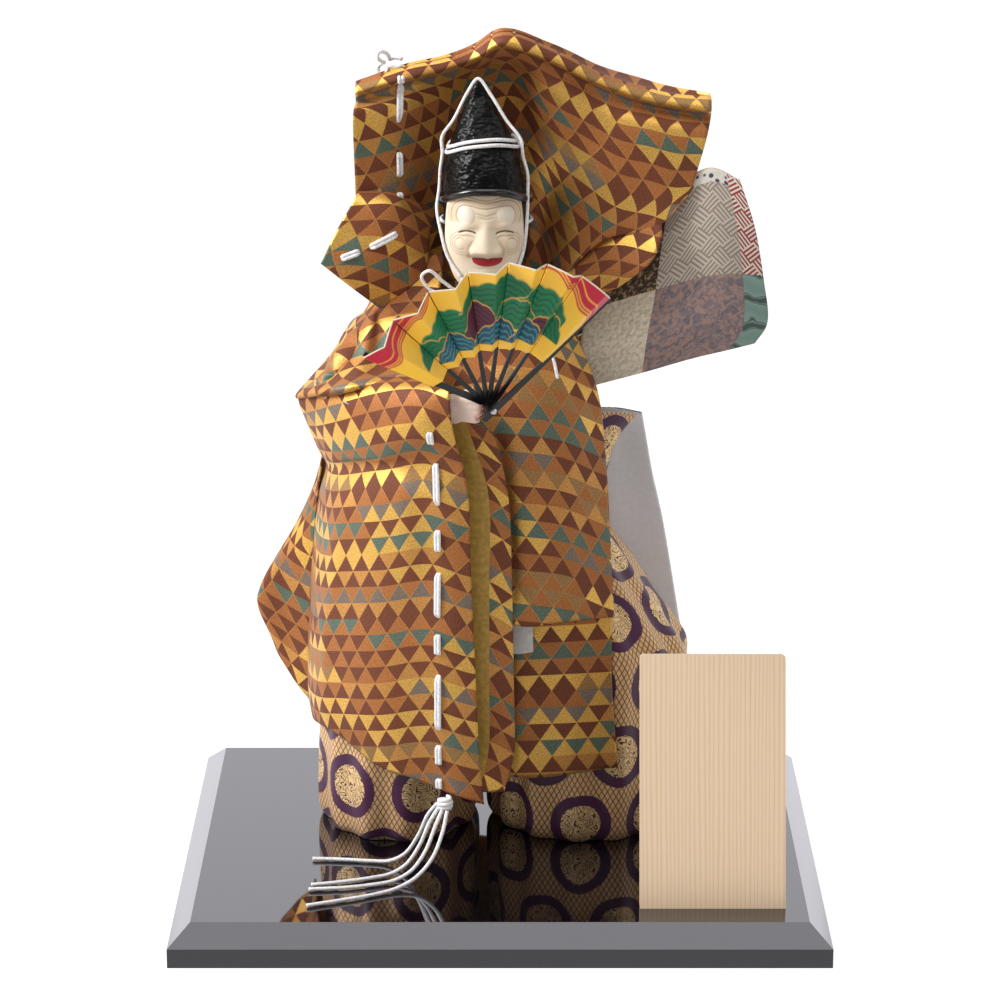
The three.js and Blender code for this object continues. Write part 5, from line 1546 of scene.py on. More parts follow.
@dataclass
class RightSleeve:
    """Lowered right sleeve: padded arm, hanging front with its lining, and the rear flap."""

    # Places and radii of the padded arm
    arm: Route = (
        (-44, -8, 264, 15), (-58, -12, 262, 15), (-72, -22, 254, 13), (-87, -38, 241, 7), (-74, -53, 241, 7),
        (-52, -74, 244, 7), (-36, -86, 246, 7),
    )
    # Shares along the front where the cord's stitches show
    spans: Sequence[Pair] = (
        (0.238, 0.28), (0.436, 0.581), (0.627, 0.667), (0.692, 0.746), (0.763, 0.785), (0.802, 0.856),
        (0.87, 0.9), (0.96, 0.995),
    )
    upper_net: Net = (
        ((-66, 6, 280), (-62, 2, 288), (-58, -4, 295), (-52, -6, 302), (-42, -8, 306), (-28, -12, 306)),
        ((-69.3, 0, 274.1), (-66.9, -8, 277.1), (-64.2, -14, 278.5), (-61.5, -16, 277.9),
         (-46.1, -16, 283.2), (-30.7, -20, 288.3)),
        ((-77.2, 2, 267.2), (-71.4, -16, 271.1), (-65.9, -26, 272.5), (-61.8, -26, 270.9),
         (-45.8, -30, 275), (-30.5, -34, 277)),
        ((-86.6, -2, 252.2), (-78.3, -26, 257.2), (-69.7, -38, 259.2), (-62.1, -36, 258.2),
         (-45.7, -40, 261.8), (-30.4, -46, 263.3)),
        ((-97, -14, 241.9), (-85.6, -38, 248.2), (-73.3, -52, 252.9), (-62.2, -50, 253.4),
         (-45.4, -54, 256), (-30.2, -60, 256.5)),
        ((-104.6, -29, 235.8), (-90.6, -52, 244), (-75.8, -66, 249.7), (-61.7, -66, 251.8),
         (-45, -70, 253.9), (-29.9, -78, 255)),
        ((-102.4, -22, 232.3), (-89, -44, 239.2), (-75.1, -58, 245), (-62, -58, 247.1),
         (-45.3, -62, 248.7), (-30, -70, 249.8)),
    )
    front_net: Net = (
        ((-99.9, -20, 237.1), (-84, -40, 245), (-61.4, -58, 252.8), (-39.9, -74, 257),
         (-26.8, -86, 257.6)),
        ((-103.2, -27, 234.7), (-84.5, -52, 241.9), (-61.5, -74, 249.8), (-39.6, -93, 254.3),
         (-25.2, -100, 255.4)),
        ((-99, -22, 219), (-83.6, -54, 225.6), (-61, -78, 232.2), (-39.7, -97, 237.1),
         (-23.7, -101, 239.8)),
        ((-92.7, -10, 199), (-81.1, -48, 208.7), (-59.8, -74, 217.1), (-37.8, -90, 223.1),
         (-20.8, -97, 225.1)),
        ((-91, -4, 191.3), (-79.8, -44, 201.7), (-58.4, -71, 210.5), (-35.9, -88, 216.4),
         (-18.4, -95, 217.3)),
        ((-94.6, 2, 175.4), (-82.4, -47, 186.6), (-58.9, -75, 194.8), (-35, -90, 200.3),
         (-15.9, -95, 202.8)),
        ((-97.9, 6, 145), (-85.8, -47, 157.6), (-60.2, -75, 165.3), (-34.1, -90, 171), (-15, -94, 174.4)),
        ((-101.4, 10, 100.7), (-90.1, -46, 115), (-62.2, -74, 115.8), (-33.9, -89, 119.9),
         (-13.1, -92, 124.1)),
        ((-102.6, 13, 61.2), (-91.2, -45, 74), (-62.2, -73, 65.5), (-33.2, -88, 59.1),
         (-10.7, -91, 66.8)),
        ((-101.3, 14, 48.3), (-88.8, -45, 59.6), (-59.8, -72, 49.8), (-32.3, -88, 43.8),
         (-8.2, -91, 36.2)),
    )
    rear_net: Net = (
        ((-84, -12, 246), (-82, -8, 246), (-79, -5, 247), (-72, -3, 250), (-60, 4, 254)),
        ((-93, 5, 190), (-95, 16, 184), (-95, 25, 178), (-88, 34, 188), (-66, 36, 216)),
        ((-98, 9, 150), (-112, 20, 134), (-128, 31, 114), (-108, 42, 134), (-74, 47, 150)),
        ((-101, 13, 106), (-115, 23, 101), (-130, 32, 104), (-110, 45, 100), (-77, 53, 100)),
        ((-102, 17, 55), (-110, 23, 64), (-121, 31, 80), (-104, 46, 68), (-78, 57, 55)),
    )
    inside_net: Net = (
        ((-46, -74, 239), (-17.4, -83, 238), (-3, -82, 231)),
        ((-42, -74, 200), (-6, -81.5, 200), (4, -80, 198)),
        ((-40, -75, 150), (-5.5, -81.5, 150), (6, -79.5, 150)),
        ((-38, -73, 100), (-5.5, -80.5, 100), (7, -78.5, 100)),
        ((-36, -72, 62), (-6, -79.5, 60), (7, -76.5, 58)),
        ((-34, -85, 47), (-11, -88.5, 42), (2, -83, 40)),
    )

    def padded_arm(self) -> None:
        """Makes the padded arm with creases at the bend, and the cloth over it."""
        stops = np.array(self.arm, float)
        shares = np.linspace(0, 1, 90)
        sizes = np.interp(shares, np.linspace(0, 1, len(stops)), stops[:, 3])
        crease = 0.9 * np.sin(TURN * shares * 11) * bump(shares, 0.5, 0.2)
        arm = tube_mesh(
            "right_arm_padding", line_through(stops[:, :3], 90, FIGURE_ORIGIN), sizes - 0.6 + crease,
            Look.ROBE, 40, lambda ring: 0.9 * unevenness(ring, 16.0),
        )
        settle(arm)
        upper = Drape(self.upper_net, 44, 50, wobble=0.3)
        hang("right_sleeve_upper", upper, thickness=1.2)

    def build(self) -> None:
        """Makes the sleeve."""
        self.padded_arm()
        front = Drape(self.front_net, 70, 108, folds=(2.5, 1.4, 0.0), creases=(
            Crease((0.0, 0.4), (0.62, 0.42), 5.0, -1.6),
            Crease((0.3, 0.52), (0.24, 0.88), 9.0, 1.4),
            Crease((0.6, 0.47), (0.64, 0.7), 7.0, 1.2),
        ))
        hang("right_sleeve_front", front, "robe_right_sleeve")
        Stitches(front, 0.83, 0.765, self.spans).build("right_sleeve_stitches", "sleeve_cord_right")
        rear = Drape(self.rear_net, 60, 70, wobble=0.7)
        hang("right_sleeve_rear", rear, "robe_right_sleeve_back", flip=True)
        inside = Drape(self.inside_net, 30, 60, wobble=0.4)
        hang("right_sleeve_lining", inside, "robe_right_sleeve_lining",
             ROBE_SIDES[::-1], 0.9, slot_at=lambda across, along: int(across > 0.5))


@dataclass
class RaisedSleeve:
    """Left sleeve thrown up over the head, with its folded corner, its root and its cords."""

    # Thickness of the sleeve's border, depth in its middle and further depth where the arm is inside
    border: float = 3.0
    puff: float = 18.0
    swell: float = 24.0
    # Radius of the looped cord
    cord: float = 1.0
    # Upper edge, and the steps back and up by which its hem is rolled
    top: Route = (
        (-73, -12, 394), (-51, -8, 400), (-29, 0, 404), (-13, 4, 409), (1, -4, 418), (24, 0, 410),
        (51, 4, 396), (79, 6, 387), (108, 8, 382),
    )
    rolled: Sequence[Pair] = ((8, -2), (3, 0.6), (-2.5, -4), (3.0, -9))
    sleeve_net: Net = (
        ((-74, -14, 381), (-51, -8, 383), (-31, 10, 383), (-12, 30, 384), (6, 20, 392),
         (28, 2, 386), (54, 2, 376), (79, 2, 371), (106, 4, 365)),
        ((-74, -14, 356), (-51, -6, 355), (-31, 12, 352), (-11, 36, 352), (13, 26, 362), (33, 4, 360),
         (56, -2, 356), (79, -2, 353), (102, 2, 350)),
        ((-73, -16, 328), (-51, -6, 325), (-31, 14, 322), (-9, 34, 322), (15, 22, 334), (36, 0, 335),
         (56, -6, 338), (79, -6, 337), (98, -2, 338)),
        ((-69.2, -10, 298.1), (-52.1, 0, 294.7), (-33, 14, 276), (-5.2, 30, 268), (20, 16, 280),
         (30.8, -8, 292), (54.2, -12, 314.2), (78.1, -12, 318.9), (95.2, -4, 333.4)),
    )
    corner_net: Net = (
        ((-70, -8, 341), (-54, -2, 338), (-33, 10, 324)),
        ((-74, -20, 336), (-55, -20, 332), (-36, -12, 316)),
        ((-83, -24, 321), (-62, -26, 312), (-38, -17, 299)),
        ((-91, -28, 305), (-76, -28, 293), (-61, -22, 280)),
    )
    root_net: Net = (
        ((43.7, 2, 318), (62.5, -4, 325.6), (82.8, -10, 321.6)),
        ((36, -4, 303.6), (59.3, -13, 310.8), (82.1, -17, 314.8)),
        ((29.8, -8, 294.5), (53.1, -18, 299.4), (76.4, -22, 304)),
        ((24.1, -16, 283.7), (41.9, -20, 284.1), (60.2, -22, 290.9)),
    )

    def depth(self, across: Array, along: Array) -> Array:
        """Gives the depth of the sleeve at shares across and along."""
        arm = self.swell * bump(across, 0.84, 0.18) * np.sqrt(clamp(np.sin(math.pi * along)))
        return pillow(self.border, self.puff)(across, along) + arm

    def build(self) -> None:
        """Makes the raised sleeve."""
        hem = (tuple((x, y + back, z + rise) for x, y, z in self.top) for back, rise in self.rolled)
        drape = Drape((*hem, *self.sleeve_net), 110, 112, wobble=0.7)
        sleeve = bag_object("raised_sleeve", drape, self.depth, [Look.ROBE])
        settle(sleeve, "robe_left_sleeve")
        spans = ((0.26, 0.31), (0.38, 0.63), (0.7, 0.76), (0.8, 0.83))
        Stitches(drape, 0.13, 0.12, spans, lift=1.3).build("raised_sleeve_stitches", "sleeve_cord_left")
        corner = Drape(self.corner_net, 40, 40)
        hang("raised_sleeve_corner", corner)
        Stitches(corner, 0.62, 0.2, ((0.5, 0.68), (0.74, 0.86))).build("corner_stitches", "corner_cord_left")
        hang("raised_sleeve_root", Drape(self.root_net, 30, 40))
        self.loops()

    def loops(self) -> None:
        """Makes the bunch of cord loops behind the sleeve."""
        shares = np.linspace(0, 1, 120)
        angle = shares * (TURN - 0.5) + 0.25
        reach = 5 + 3.2 * np.cos(3 * angle)
        line = np.stack([
            -57 + reach * np.cos(angle), 0.6 + 3 * np.sin(2 * angle), 403 + 0.8 * reach * np.sin(angle),
        ], axis=-1) + FIGURE_ORIGIN
        white_cord("sleeve_cord_loops", line, self.cord, "cord_loops_left")


# Head


@dataclass
class Head:
    """Head with hair, carved mask, crinkled cap and the cords that hold them, in the head's frame."""

    # Half sizes of the head, how far it stands before the neck, and the height of its middle
    half: Place = (22.0, 21.0, 28.0)
    forward: float = 4.0
    rise: float = 37.0
    # Mask: gap to the head, thickness, then in degrees its reach to each side, turn and two level edges
    mask_gap: float = 0.6
    mask_thickness: float = 2.4
    sweep: float = 55.0
    swing: float = -3.5
    top: float = 58.0
    bottom: float = -62.0
    # Radius of the cords and of the cap's rim, points of a closed loop
    cord: float = 0.85
    rim: float = 2.0
    loop_points: int = 121
    neck_paint: str = "e6c8ad"
    # Cap: height of its edge in front, height, half sizes, drop of the edge at the sides and behind,
    # half size of its tip, and lean of the tip to the left and back
    cap_rise: float = 59.6
    cap_height: float = 50.4
    cap_half: Pair = (21.8, 24.0)
    cap_drop: Pair = (8.0, 14.0)
    cap_tip: float = 1.2
    cap_lean: float = 4.0
    # Cord band on the cap: height, spacing of its two cords, and rise at its right end
    band_rise: float = 23.0
    band_pitch: float = 2.5
    band_tilt: float = 1.6
    # Places of a brow tuft and of a cheek's middle
    brow: Pair = (10.1, 47.0)
    cheek: Pair = (12.2, 33.0)

    def point(self, azimuth: Array, polar: Array, grow: Array | float) -> Array:
        """Gives points on the head, larger by grow.

        Args:
            azimuth: angle from the front, in radians.
            polar: angle above the middle, in radians.
            grow: distance off the head.

        Returns:
            Points in the head's frame.
        """
        level = np.cos(polar) ** 0.4
        x = (self.half[0] + grow) * level * np.sin(azimuth)
        y = -self.forward - (self.half[1] + grow) * level * np.cos(azimuth)
        return np.stack([x, y, self.rise + (self.half[2] + grow) * np.sin(polar)], axis=-1)

    def hair(self) -> None:
        """Makes the head with its hair and neck."""
        polars = np.radians(np.linspace(-72, 76, 40))
        rings = np.array([self.point(circle(64), np.full(64, polar), 0.0) for polar in polars])
        settle(loft_object("hair", rings, HEAD_ORIGIN, [Look.HAIR]), "head", HEAD)
        rings = np.array([level_ring(0, 0, z, (8.0, 8.0), circle(40)) for z in np.linspace(0.4, 14, 8)])
        neck = loft_object("neck", rings, HEAD_ORIGIN, [Look.SKIN], paint=self.neck_paint)
        settle(neck, body=HEAD)

    def relief(self, x: Array, z: Array) -> tuple[Array, Array]:
        """Gives the carving of the mask.

        Args:
            x: places across.
            z: heights.

        Returns:
            Height of the carving in millimetres, and the linear paint colours.
        """
        side = np.abs(x)
        brow_far = np.hypot(side - self.brow[0], (z - self.brow[1]) * 0.92)
        cheek_far = np.hypot(side - self.cheek[0], (z - self.cheek[1]) * 0.92)

        # Nose, brow tufts, cheeks and chin
        width = 2.8 + 0.34 * np.clip(40 - z, 0, 12)
        ridge = clamp((z - 26.4) / 3.2) ** 0.8 * (0.2 + 0.8 * clamp((43 - z) / 13))
        height = 3.9 * ridge * clamp((46 - z) / 4) * bump(x, 0, width)
        height += 1.1 * bump(side, 6.0, 2.2) * bump(z, 29.4, 2.0)
        tuft = clamp(1 - (brow_far / 4.6) ** 2) ** 0.8
        height += 0.9 * tuft + 2.2 * bump(cheek_far, 0, 5.5) + 1.4 * bump(x, 0, 7) * bump(z, 14.5, 4.5)

        # Wrinkles over the brows and round the cheeks
        level = (z - self.brow[1]) * 0.92 + 1.5 * bump(x, 0, 6)
        over = np.where(side > self.brow[0], brow_far, level)
        lines = ((4.9, 1.0), (6.2, 0.6), (7.5, 1.0), (8.8, 0.6))
        wrinkle = sum(weight * bump(over, far, 0.42) for far, weight in lines)
        wrinkle *= clamp((brow_far - 4.4) / 0.4) * clamp((z - 42.0) / 2.0)
        for low, rise, reach in ((46.9, 0.3, 6.0), (45.4, 0.26, 4.5)):
            wrinkle += 0.6 * bump(z, low + rise * side, 0.45) * clamp((reach - side) / 1.5)
        ringed = clamp(np.cos(TURN * (cheek_far - 5.3) / 1.35)) ** 2
        ringed *= clamp((cheek_far - 1.9) / 0.5) * clamp((6.1 - cheek_far) / 0.5)
        ringed *= clamp((side - 9.5) / 2.0)
        edge = np.interp(z, [25.0, 31.0, 35.5], [7.9, 8.2, 5.8])
        fold = bump(side, edge, 0.8) * clamp((36 - z) / 2) * clamp((z - 24.5) / 2)
        groove = clamp(wrinkle + ringed + 0.6 * fold)
        height -= 0.45 * groove

        # Eyes and mouth
        lid = 38.1 + 1.4 * (1 - ((side - 9.2) / 4.6) ** 2)
        span = clamp((4.6 - np.abs(side - 9.2)) / 0.8)
        slit = bump(z, lid, 0.38) * span
        bag = bump(z, lid - 2.4, 0.5) * span
        height += 1.0 * bump(side, 9.2, 4.2) * bump(z, 41.8, 1.6) - 1.0 * slit - 0.3 * bag
        off = (x - 0.6) / 7.7
        reach = clamp(1 - off ** 2)
        upper = 25.3 + 0.3 * np.abs(off) - 0.4 * bump(x, 0.6, 1.3)
        parted = bump(z, upper, 0.35) * (reach > 0.03)
        above_chin = clamp((z - 25.4 + 4.2 * np.sqrt(reach)) / 0.3)
        lips = clamp((upper - z) / 0.25) * above_chin * (reach > 0)
        height += 0.6 * lips * bump(z, 23.4, 1.5) - 0.6 * parted - 0.5 * bump(z, 20.0, 0.6) * bump(x, 0.6, 6)

        # Paint, with painted shade in the hollows between brows and eyes and beside the nose
        painted_shade = 0.4 * bump(z, 42.4, 2.2) * bump(side, 5.5, 4) + 0.3 * bump(side, 9.0, 2.0) * bump(z, 29, 5)
        paint = np.tile(np.array(linear("e2d2ba")), (*x.shape, 1))
        stubble = 0.4 * bump(z, 27.3, 0.5) * bump(side, 5.0, 3.2)
        for code, amount in (
            ("b38a5e", 0.7 * groove + painted_shade + 0.4 * bag), ("e9e3d5", 0.7 * tuft), ("7d7570", stubble),
            ("3a2a22", 1.1 * slit), ("ab1f2e", lips), ("5d1016", 0.85 * parted),
        ):
            paint += (np.array(linear(code)) - paint) * clamp(amount)[..., None]
        return height, paint

    def mask(self) -> None:
        """Makes the carved mask."""
        columns, rows = 150, 170
        across, share = np.meshgrid(np.linspace(-1, 1, columns), np.linspace(0, 1, rows))
        polar = np.radians(self.top + (self.bottom - self.top) * share)
        narrow = 1 - 0.22 * clamp(2 * share - 1) ** 2
        azimuth = np.radians(across * self.sweep * narrow + self.swing)
        plain = self.point(azimuth, polar, self.mask_gap + self.mask_thickness)
        height, paint = self.relief(plain[..., 0], plain[..., 2])
        edge = clamp(np.minimum(1 - np.abs(across), np.minimum(share, 1 - share) * 2) / 0.05)
        grow = self.mask_gap + self.mask_thickness + height * edge - 0.8 * (1 - edge)
        front = self.point(azimuth, polar, grow)
        inner = self.point(azimuth, polar, np.full(across.shape, self.mask_gap))
        faces, behind = shell_faces(rows, columns)
        vertices = np.concatenate([front.reshape(-1, 3), inner.reshape(-1, 3)]) + HEAD_ORIGIN
        colours = np.concatenate([paint.reshape(-1, 4)] * 2)
        piece = new_object("carved_mask", vertices * MM, faces + behind, [Look.MASK], paint=colours)
        settle(piece, "mask", HEAD)

    def cap_section(self, share: Array | float) -> tuple:
        """Gives a section of the cap.

        Args:
            share: share of its height.

        Returns:
            Half width, half depth, and place of the middle across and in depth.
        """
        narrow = np.cos(share * math.pi / 2)
        wide = self.cap_tip + (self.cap_half[0] - self.cap_tip) * narrow
        deep = self.cap_tip + (self.cap_half[1] - self.cap_tip) * narrow ** 1.5
        return wide, deep, -self.cap_lean * share, -self.forward + self.cap_lean * share

    def cap_ring(self, share: float, grow: float, angles: Array) -> Array:
        """Gives a ring of the cap.

        Args:
            share: share of its height.
            grow: distance off the cap.
            angles: angles of the points.

        Returns:
            Points in the head's frame.
        """
        wide, deep, x, y = self.cap_section(share)
        ring = level_ring(x, y, 0, (wide + grow, deep + grow), angles)
        aside = self.cap_drop[0] * np.abs(np.cos(angles)) ** 2.5
        drop = np.maximum(aside, self.cap_drop[1] * clamp(np.sin(angles)))
        ring[:, 2] = self.cap_rise + self.cap_height * share - (1 - share) * drop
        return ring

    def cap(self) -> None:
        """Makes the crinkled cap and its smooth rim."""
        rings = np.array([self.cap_ring(share, 0.0, circle(120)) for share in np.linspace(0, 1, 80)])
        out = rings - rings.mean(axis=1, keepdims=True)
        out /= np.maximum(np.linalg.norm(out, axis=-1, keepdims=True), 1e-6)
        wide_crinkles = 0.3 * unevenness(rings * np.array([1, 1, 2.2]), 9.0)
        rings += out * (0.35 * unevenness(rings, 4.0) + wide_crinkles)[..., None]
        settle(loft_object("crinkled_cap", rings, HEAD_ORIGIN, [Look.CAP]), "cap", HEAD)
        rim_line = self.cap_ring(0.0, 0.3, np.linspace(0, TURN, self.loop_points)) + HEAD_ORIGIN
        rim = tube_mesh("cap_rim", rim_line, np.full(self.loop_points, self.rim), Look.CAP_RIM, 12)
        settle(rim, body=HEAD)

    def cap_cords(self) -> None:
        """Makes the cap's cords and the mask's cord."""
        turn = np.linspace(0, TURN, self.loop_points)
        for name, pitch in (("lower", -0.5), ("upper", 0.5)):
            share = (self.band_rise + pitch * self.band_pitch) / self.cap_height
            line = self.cap_ring(share, self.cord + 0.3, turn) + HEAD_ORIGIN
            line[:, 2] += self.band_tilt * np.cos(turn)
            white_cord(f"cap_cord_{name}", line, self.cord * 1.1, f"cap_band_{name}", HEAD)
        edge = line_through(self.edge_route(), 160, HEAD_ORIGIN)
        white_cord("cap_side_cord", edge, self.cord, "cap_edge_cord", HEAD)
        stops = np.radians([66, 90, 125, 160, 180, 200, 235, 270, 294])
        route = self.point(stops, np.full(9, math.radians(8)), self.cord + 0.3)
        white_cord("mask_tie", line_through(route, 80, HEAD_ORIGIN), self.cord, "mask_cord", HEAD)

    def chin_cords(self) -> None:
        """Makes the chin bow and the long end of the chin cord."""
        bow = ((0, 0, 0), (1.3, -1.4, -2.6), (-2, -6, -5), (-9, -9, 0), (-16, -10, 6), (-20, -9, 3),
               (-16, -8, -4), (-7, -8, -8), (-6, -9, -14), (-11, -9.5, -19))
        tail = ((0, 0, 0), (-1.3, -1.4, -2.6), (2, -6, -9), (9, -12, -18), (16, -17, -28), (20, -20.5, -38),
                (22, -21.5, -47))
        for name, route, sign, node in (
            ("bow_cord", bow, -1, "chin_bow"), ("chin_cord", tail, 1, "chin_cord_tail"),
        ):
            line = line_through(np.array(route, float) + self.chin_end(sign), 90, HEAD_ORIGIN)
            white_cord(name, line, self.cord, node, HEAD)

    def side_points(self, sign: int) -> list[Array]:
        """Gives the points of the side cord along the face, upwards."""
        azimuth, polar = (np.radians([stop[index] for stop in SIDE_STOPS[sign]]) for index in (1, 0))
        return list(self.point(sign * azimuth, polar, 3 * self.cord + 1.6))

    def chin_end(self, sign: int) -> Array:
        """Gives the place where a chin cord goes on from the cap's side cord."""
        end, above = self.side_points(sign)[:2]
        return end + 0.3 * (end - above) / np.linalg.norm(end - above)

    def edge_route(self) -> Route:
        """Gives the route of the cord along the cap's sides."""
        over, clear = 3 * self.cord + 1.2, self.cord + 0.5
        band = self.band_rise / self.cap_height

        def beside(share: float, sign: int, lift: float) -> Array:
            """Gives a point beside the cap, further forward on its right.

            Args:
                share: share of the cap's height.
                sign: 1 for the right and -1 for the left.
                lift: distance off the cap.

            Returns:
                The point.
            """
            wide, deep, x, y = self.cap_section(share)
            turn = math.radians(20 if sign > 0 else 0)
            place = [x + sign * (wide + lift) * math.cos(turn), y - (deep + lift) * math.sin(turn)]
            return np.array([*place, self.cap_rise + self.cap_height * share])

        def half(sign: int) -> list[Array]:
            """Gives the points of one side, upwards."""
            lifts = ((0.12, clear), (band - 0.16, clear), (band, over), (band + 0.18, clear), (0.9, clear))
            return self.side_points(sign) + [beside(share, sign, lift) for share, lift in lifts]

        _, _, x, y = self.cap_section(1.0)
        tip = [np.array([x, y, self.cap_rise + self.cap_height + clear + 0.6])]
        return np.array(half(-1) + tip + half(1)[::-1])

    def build(self) -> None:
        """Makes the whole head."""
        self.hair()
        self.mask()
        self.cap()
        self.cap_cords()


# Angle above the head's middle and from the front of the side cord's points on the left and the right
SIDE_STOPS = {
    -1: ((-44, 33), (-22, 50), (0, 61), (19, 77), (38, 88)),
    1: ((-44, 38), (-25, 44), (-12, 48), (13, 53), (38, 62)),
}


# Hands


@dataclass
class Hands:
    """Painted hands: palm, four fingers and a thumb, smoothed into one skin."""

    # Half sizes of the palm, radius and spacing of the fingers, size of the skin's cells
    palm: Place = (8.0, 4.6, 7.8)
    finger: float = 2.0
    pitch: float = 3.2
    voxel: float = 0.55
    finger_points: int = 20
    skin: str = "d3b9ab"
    nail: str = "b97468"

    def hand(self, name: str, place: Place, side: int, node: str) -> None:
        """Makes one hand.

        Args:
            name: name of the piece.
            place: middle of the palm in the figure's frame.
            side: 1 or -1 for its mirror image.
            node: solid that it stands for.
        """
        middle = np.array(place, float) + FIGURE_ORIGIN
        mirror = np.array([side, 1, 1])
        wide, deep, high = self.palm
        lifts = np.linspace(-0.96, 0.96, 14)
        rounds = [(lift, math.sqrt(1 - lift ** 2)) for lift in lifts]
        palm = np.array([
            level_ring(0, 0, high * lift, (wide * part, deep * part), circle(24)) for lift, part in rounds
        ])
        blocks, nails = [loft_object("block", palm, middle, [Look.SKIN])], []
        for finger in range(4):
            rise = 5.6 - finger * self.pitch
            tip = 16.0 - 0.8 * (finger - 1) ** 2
            route = np.array([
                [-2, -1, rise * 0.85], [6, -3.8, rise * 0.92], [12, -5.6, rise], [tip, -6.0, rise + 0.6],
            ])
            line = line_through(route * mirror, self.finger_points, middle)
            radii = self.finger * (1.05 - 0.2 * np.linspace(0, 1, self.finger_points) ** 2)
            radii[-3:] *= np.array([0.93, 0.75, 0.4])
            blocks.append(tube_mesh("block", line, radii, Look.SKIN, 12))
            nails.append(line[-4] + np.array([0, -1.4, 0.3]))
        thumb = np.array([[0, 1, 3], [4, 2, 6], [8, 2.5, 8], [11, 2.5, 9]])
        line = line_through(thumb * mirror, self.finger_points, middle)
        blocks.append(tube_mesh("block", line, np.full(self.finger_points, self.finger), Look.SKIN, 12))

        # One skin over the rough blocks, with its paint
        rough = joined("rough_hand", blocks, Look.SKIN)
        remesh = rough.modifiers.new("skin", "REMESH")
        remesh.mode = "VOXEL"
        remesh.voxel_size = self.voxel * MM
        smooth = rough.modifiers.new("soft", "SMOOTH")
        smooth.iterations = 10
        smooth.factor = 0.5
        graph = bpy.context.evaluated_depsgraph_get()
        places, faces = parts_of(bpy.data.meshes.new_from_object(rough.evaluated_get(graph)))
        bpy.data.objects.remove(rough)
        paint = np.tile(np.array(linear(self.skin)), (len(places), 1))
        for nail in nails:
            near = bump(np.linalg.norm(places / MM - nail, axis=1), 0.0, 1.5)
            paint += (np.array(linear(self.nail)) - paint) * (0.8 * near)[:, None]
        paint[:, 3] = 1.0
        settle(new_object(name, places, faces, [Look.SKIN], paint=paint), node)

    def build(self) -> None:
        """Makes both hands."""
        self.hand("right_hand", (-23.5, -92.5, 246), 1, "hand_right")
        self.hand("left_hand", (66, 17, 358), -1, "hand_left")


# Fan


BRIGHT_HILL = ("148050", "0b4c38")
DEEP_HILL = ("117648", "0b4c38")
MOUND = ("64263a", "2c1420")
WAVE = ("24506a", "46a09a")


